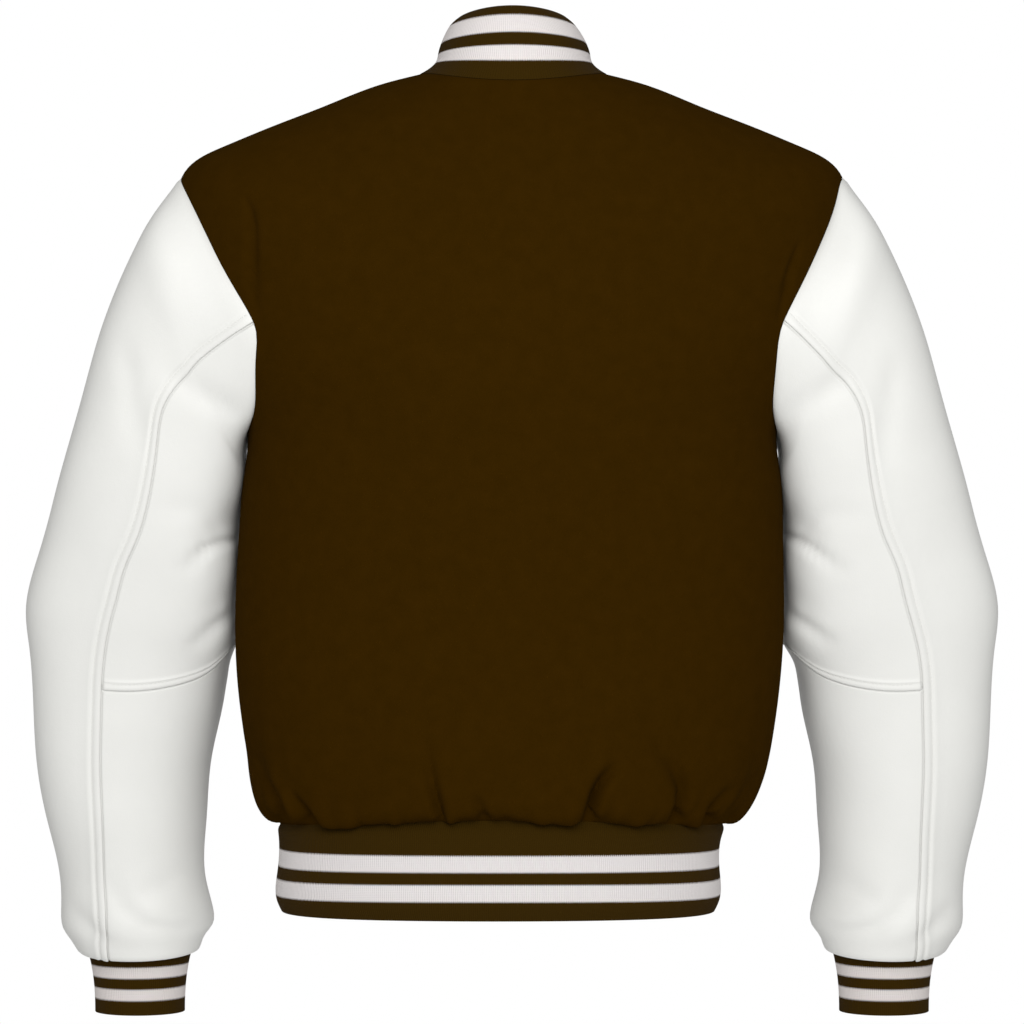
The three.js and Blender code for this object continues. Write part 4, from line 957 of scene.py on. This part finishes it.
for hand in ("left", "right"):
    top, top_grid = sleeve_panel(
        "sleeve_top_leather_" + hand, hand, top_turn, lambda share, row: row * SLEEVE_END,
        sleeve_rows(0, SLEEVE_END, 4.4), 32, EDGE_STEPS, top_relief,
    )
    dress(top, "sleeve_top_" + hand, leather)
    upper, upper_grid = sleeve_panel(
        "sleeve_under_upper_leather_" + hand, hand, under_turn, upper_run,
        sleeve_rows(0, ELBOW_RUN, 4.4, fine_last=EDGE_STEPS), 30, TUCK_STEPS, upper_relief,
    )
    dress(upper, "sleeve_under_upper_" + hand, leather)
    lower, lower_grid = sleeve_panel(
        "sleeve_under_lower_leather_" + hand, hand, under_turn, lower_run,
        sleeve_rows(ELBOW_RUN - TUCK, SLEEVE_END, 4.0, fine_first=TUCK_STEPS), 30, TUCK_STEPS, lower_relief,
    )
    dress(lower, "sleeve_under_lower_" + hand, leather)
    turned = np.swapaxes(upper_grid[:, len(TUCK_STEPS) - 1 : -len(TUCK_STEPS) + 1], 0, 1)
    seams = [grid_line(top_grid, 7.2), grid_line(top_grid[:, ::-1], 7.2), grid_line(turned, 5.4)]
    thread_piece(
        "sleeve_topstitch_" + hand, seams, white_thread, axis=(-290 if hand == "left" else 290, 30)
    )

# The cuffs
# Tubes of the same striped rib knit. Each is stretched onto the leather's gathered end, so the leather
# blouses over it, and it narrows a little to the wrist.
CUFF_GAP, CUFF_DROP = 0.6, 54
CUFF_STRIPES = (15.8, 24.6, 33.4, 42.2)
# Painted shade: the cuffs' white is set a little darker than the hem band's, for the shade on their down-turned faces;
# the yarn is the same
CUFF_WHITE_WITH_PAINTED_SHADE = "#dfd8d5"
cuff_knit = rib_knit("striped rib knit of the cuffs, with painted shade", CUFF_STRIPES, CUFF_DROP, CUFF_WHITE_WITH_PAINTED_SHADE)
last_ring = SLEEVE[SLEEVE_END]
cuff_centre = np.array([(last_ring[i] + last_ring[i + 3]) / 2 for i in range(3)])


def cuff(hand):
    """One cuff: the sleeve's last ring carried down, narrowed and levelled."""
    side = LEFT if hand == "left" else RIGHT
    down, turn = np.meshgrid(np.linspace(0, 1, 20), np.linspace(0, 2 * math.pi, 97), indexing="ij")
    top = sleeve_point(SLEEVE_END * np.ones_like(turn), turn, side) - cuff_centre
    narrow = 1 - 0.17 * (1 - (1 - down) ** 2.4)
    grid = np.stack([top[..., 0] * narrow, top[..., 1] * narrow * mix(1, 0.97, down), top[..., 2] * (1 - down)], -1)
    grid = grid + cuff_centre
    grid[..., 2] -= CUFF_GAP + down * CUFF_DROP
    around = arc_lengths(grid)[9]
    around = around / around[-1] * RIB_PITCH * round(around[-1] / RIB_PITCH)
    pattern = np.stack([np.broadcast_to(around, down.shape), down * CUFF_DROP], -1)
    grid[..., 0] *= side
    centre = (grid[0, :, 0].mean(), grid[0, :, 1].mean())
    return cloth("cuff_knit_" + hand, grid, RIB_WALL, pattern, is_tube=True, rounding=1.5, axis=centre)


for hand in ("left", "right"):
    dress(cuff(hand), "cuff_" + hand, cuff_knit)

# The press studs
# Seven domed brass caps, nickel plated and polished, crimped through the left front and its tab.
# Each has a rolled rim round a shallow dome.
STUD_COUNT = 7
# Radius and height from the cloth, in mm, from the middle of the dome over the rim to the cloth
STUD_PROFILE = [
    (0, 3.2), (1.6, 3.1), (3.4, 2.7), (4.9, 2.0), (5.5, 1.6), (5.9, 1.75), (6.5, 1.8), (7.0, 1.4), (7.2, 0.8),
    (7.1, 0.1), (0, 0.1),
]
nickel, tree = new_material("polished nickel plate")
shader = add_node(tree, "ShaderNodeBsdfPrincipled", Base_Color=linear("#c9c9c6"), Metallic=1, Roughness=0.22)
add_node(tree, "ShaderNodeOutputMaterial", {}, {"Surface": (shader, 0)})
for number in range(1, STUD_COUNT + 1):
    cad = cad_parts["stud_%d" % number].data
    alike = [[face for face in cad.polygons if face.normal.dot(other.normal) > 0.999] for other in cad.polygons]
    base = max(alike, key=lambda faces: sum(face.area for face in faces))
    middle = sum((face.center * face.area for face in base), Vector()) / sum(face.area for face in base)
    upright = (-base[0].normal).to_track_quat("Z", "Y").to_matrix().to_4x4()
    mesh = bmesh.new()
    rim = [mesh.verts.new((r * MM, 0, h * MM)) for r, h in STUD_PROFILE]
    for low, high in zip(rim, rim[1:]):
        mesh.edges.new((low, high))
    bmesh.ops.spin(
        mesh, geom=mesh.verts[:] + mesh.edges[:], axis=(0, 0, 1), cent=(0, 0, 0), angle=2 * math.pi, steps=28,
        use_merge=True,
    )
    bmesh.ops.remove_doubles(mesh, verts=mesh.verts, dist=1e-6)
    bmesh.ops.recalc_face_normals(mesh, faces=mesh.faces)
    for face in mesh.faces:
        face.smooth = True
    mesh.transform(Matrix.Translation(middle) @ upright)
    stud = new_piece("stud_cap_%d" % number, mesh)
    stud.data.materials.append(nickel)
    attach(stud, "root")
    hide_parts("stud_%d" % number)

# The floor, the light and the camera
# A plain white room: a wide pale floor where a wearer would stand, and large soft lights.
FLOOR_Z, ROOM_LIGHT = -1.45, 0.45
floor_mesh = bmesh.new()
bmesh.ops.create_grid(floor_mesh, x_segments=1, y_segments=1, size=3)
floor_mesh.transform(Matrix.Translation((0, 0, FLOOR_Z)))
floor = new_piece("floor", floor_mesh)
pale, tree = new_material("pale floor")
shader = add_node(tree, "ShaderNodeBsdfPrincipled", Base_Color=linear("#ffffff"), Roughness=0.9)
add_node(tree, "ShaderNodeOutputMaterial", {}, {"Surface": (shader, 0)})
floor.data.materials.append(pale)

world = bpy.data.worlds.new("studio")
world.use_nodes = True
room = world.node_tree.nodes["Background"]
room.inputs["Color"].default_value = linear("#ffffff")
seen = add_node(world.node_tree, "ShaderNodeLightPath")
glow = add_node(
    world.node_tree, "ShaderNodeMapRange", {}, {"Value": (seen, "Is Camera Ray")}, To_Min=ROOM_LIGHT, To_Max=1.0,
)
world.node_tree.links.new(glow.outputs[0], room.inputs["Strength"])
bpy.context.scene.world = world


def soft_light(name, place, aim, width, height, watts):
    """A soft box that faces aim."""
    data = bpy.data.lights.new(name, "AREA")
    data.shape = "RECTANGLE"
    data.size, data.size_y, data.energy = width, height, watts
    light = bpy.data.objects.new(name, data)
    light.location = place
    light.rotation_euler = (Vector(aim) - Vector(place)).to_track_quat("-Z", "Y").to_euler()
    bpy.context.collection.objects.link(light)


soft_light("key", (-0.25, -1.9, 0.65), (0, 0, -0.3), 1.3, 0.9, 16)
soft_light("fill", (0.35, -2.5, 0.25), (0, 0, -0.35), 1.4, 1.0, 27)

CAMERA_DISTANCE, CAMERA_HEIGHT, LENS = 3.0, -0.347, 135.2
lens = bpy.data.cameras.new("camera")
lens.lens, lens.sensor_width = LENS, 36
camera = bpy.data.objects.new("camera", lens)
camera.location = (0, -CAMERA_DISTANCE, CAMERA_HEIGHT)
camera.rotation_euler = (math.pi / 2, 0, 0)
bpy.context.collection.objects.link(camera)
bpy.context.scene.camera = camera
bpy.context.scene.view_settings.view_transform = "Standard"
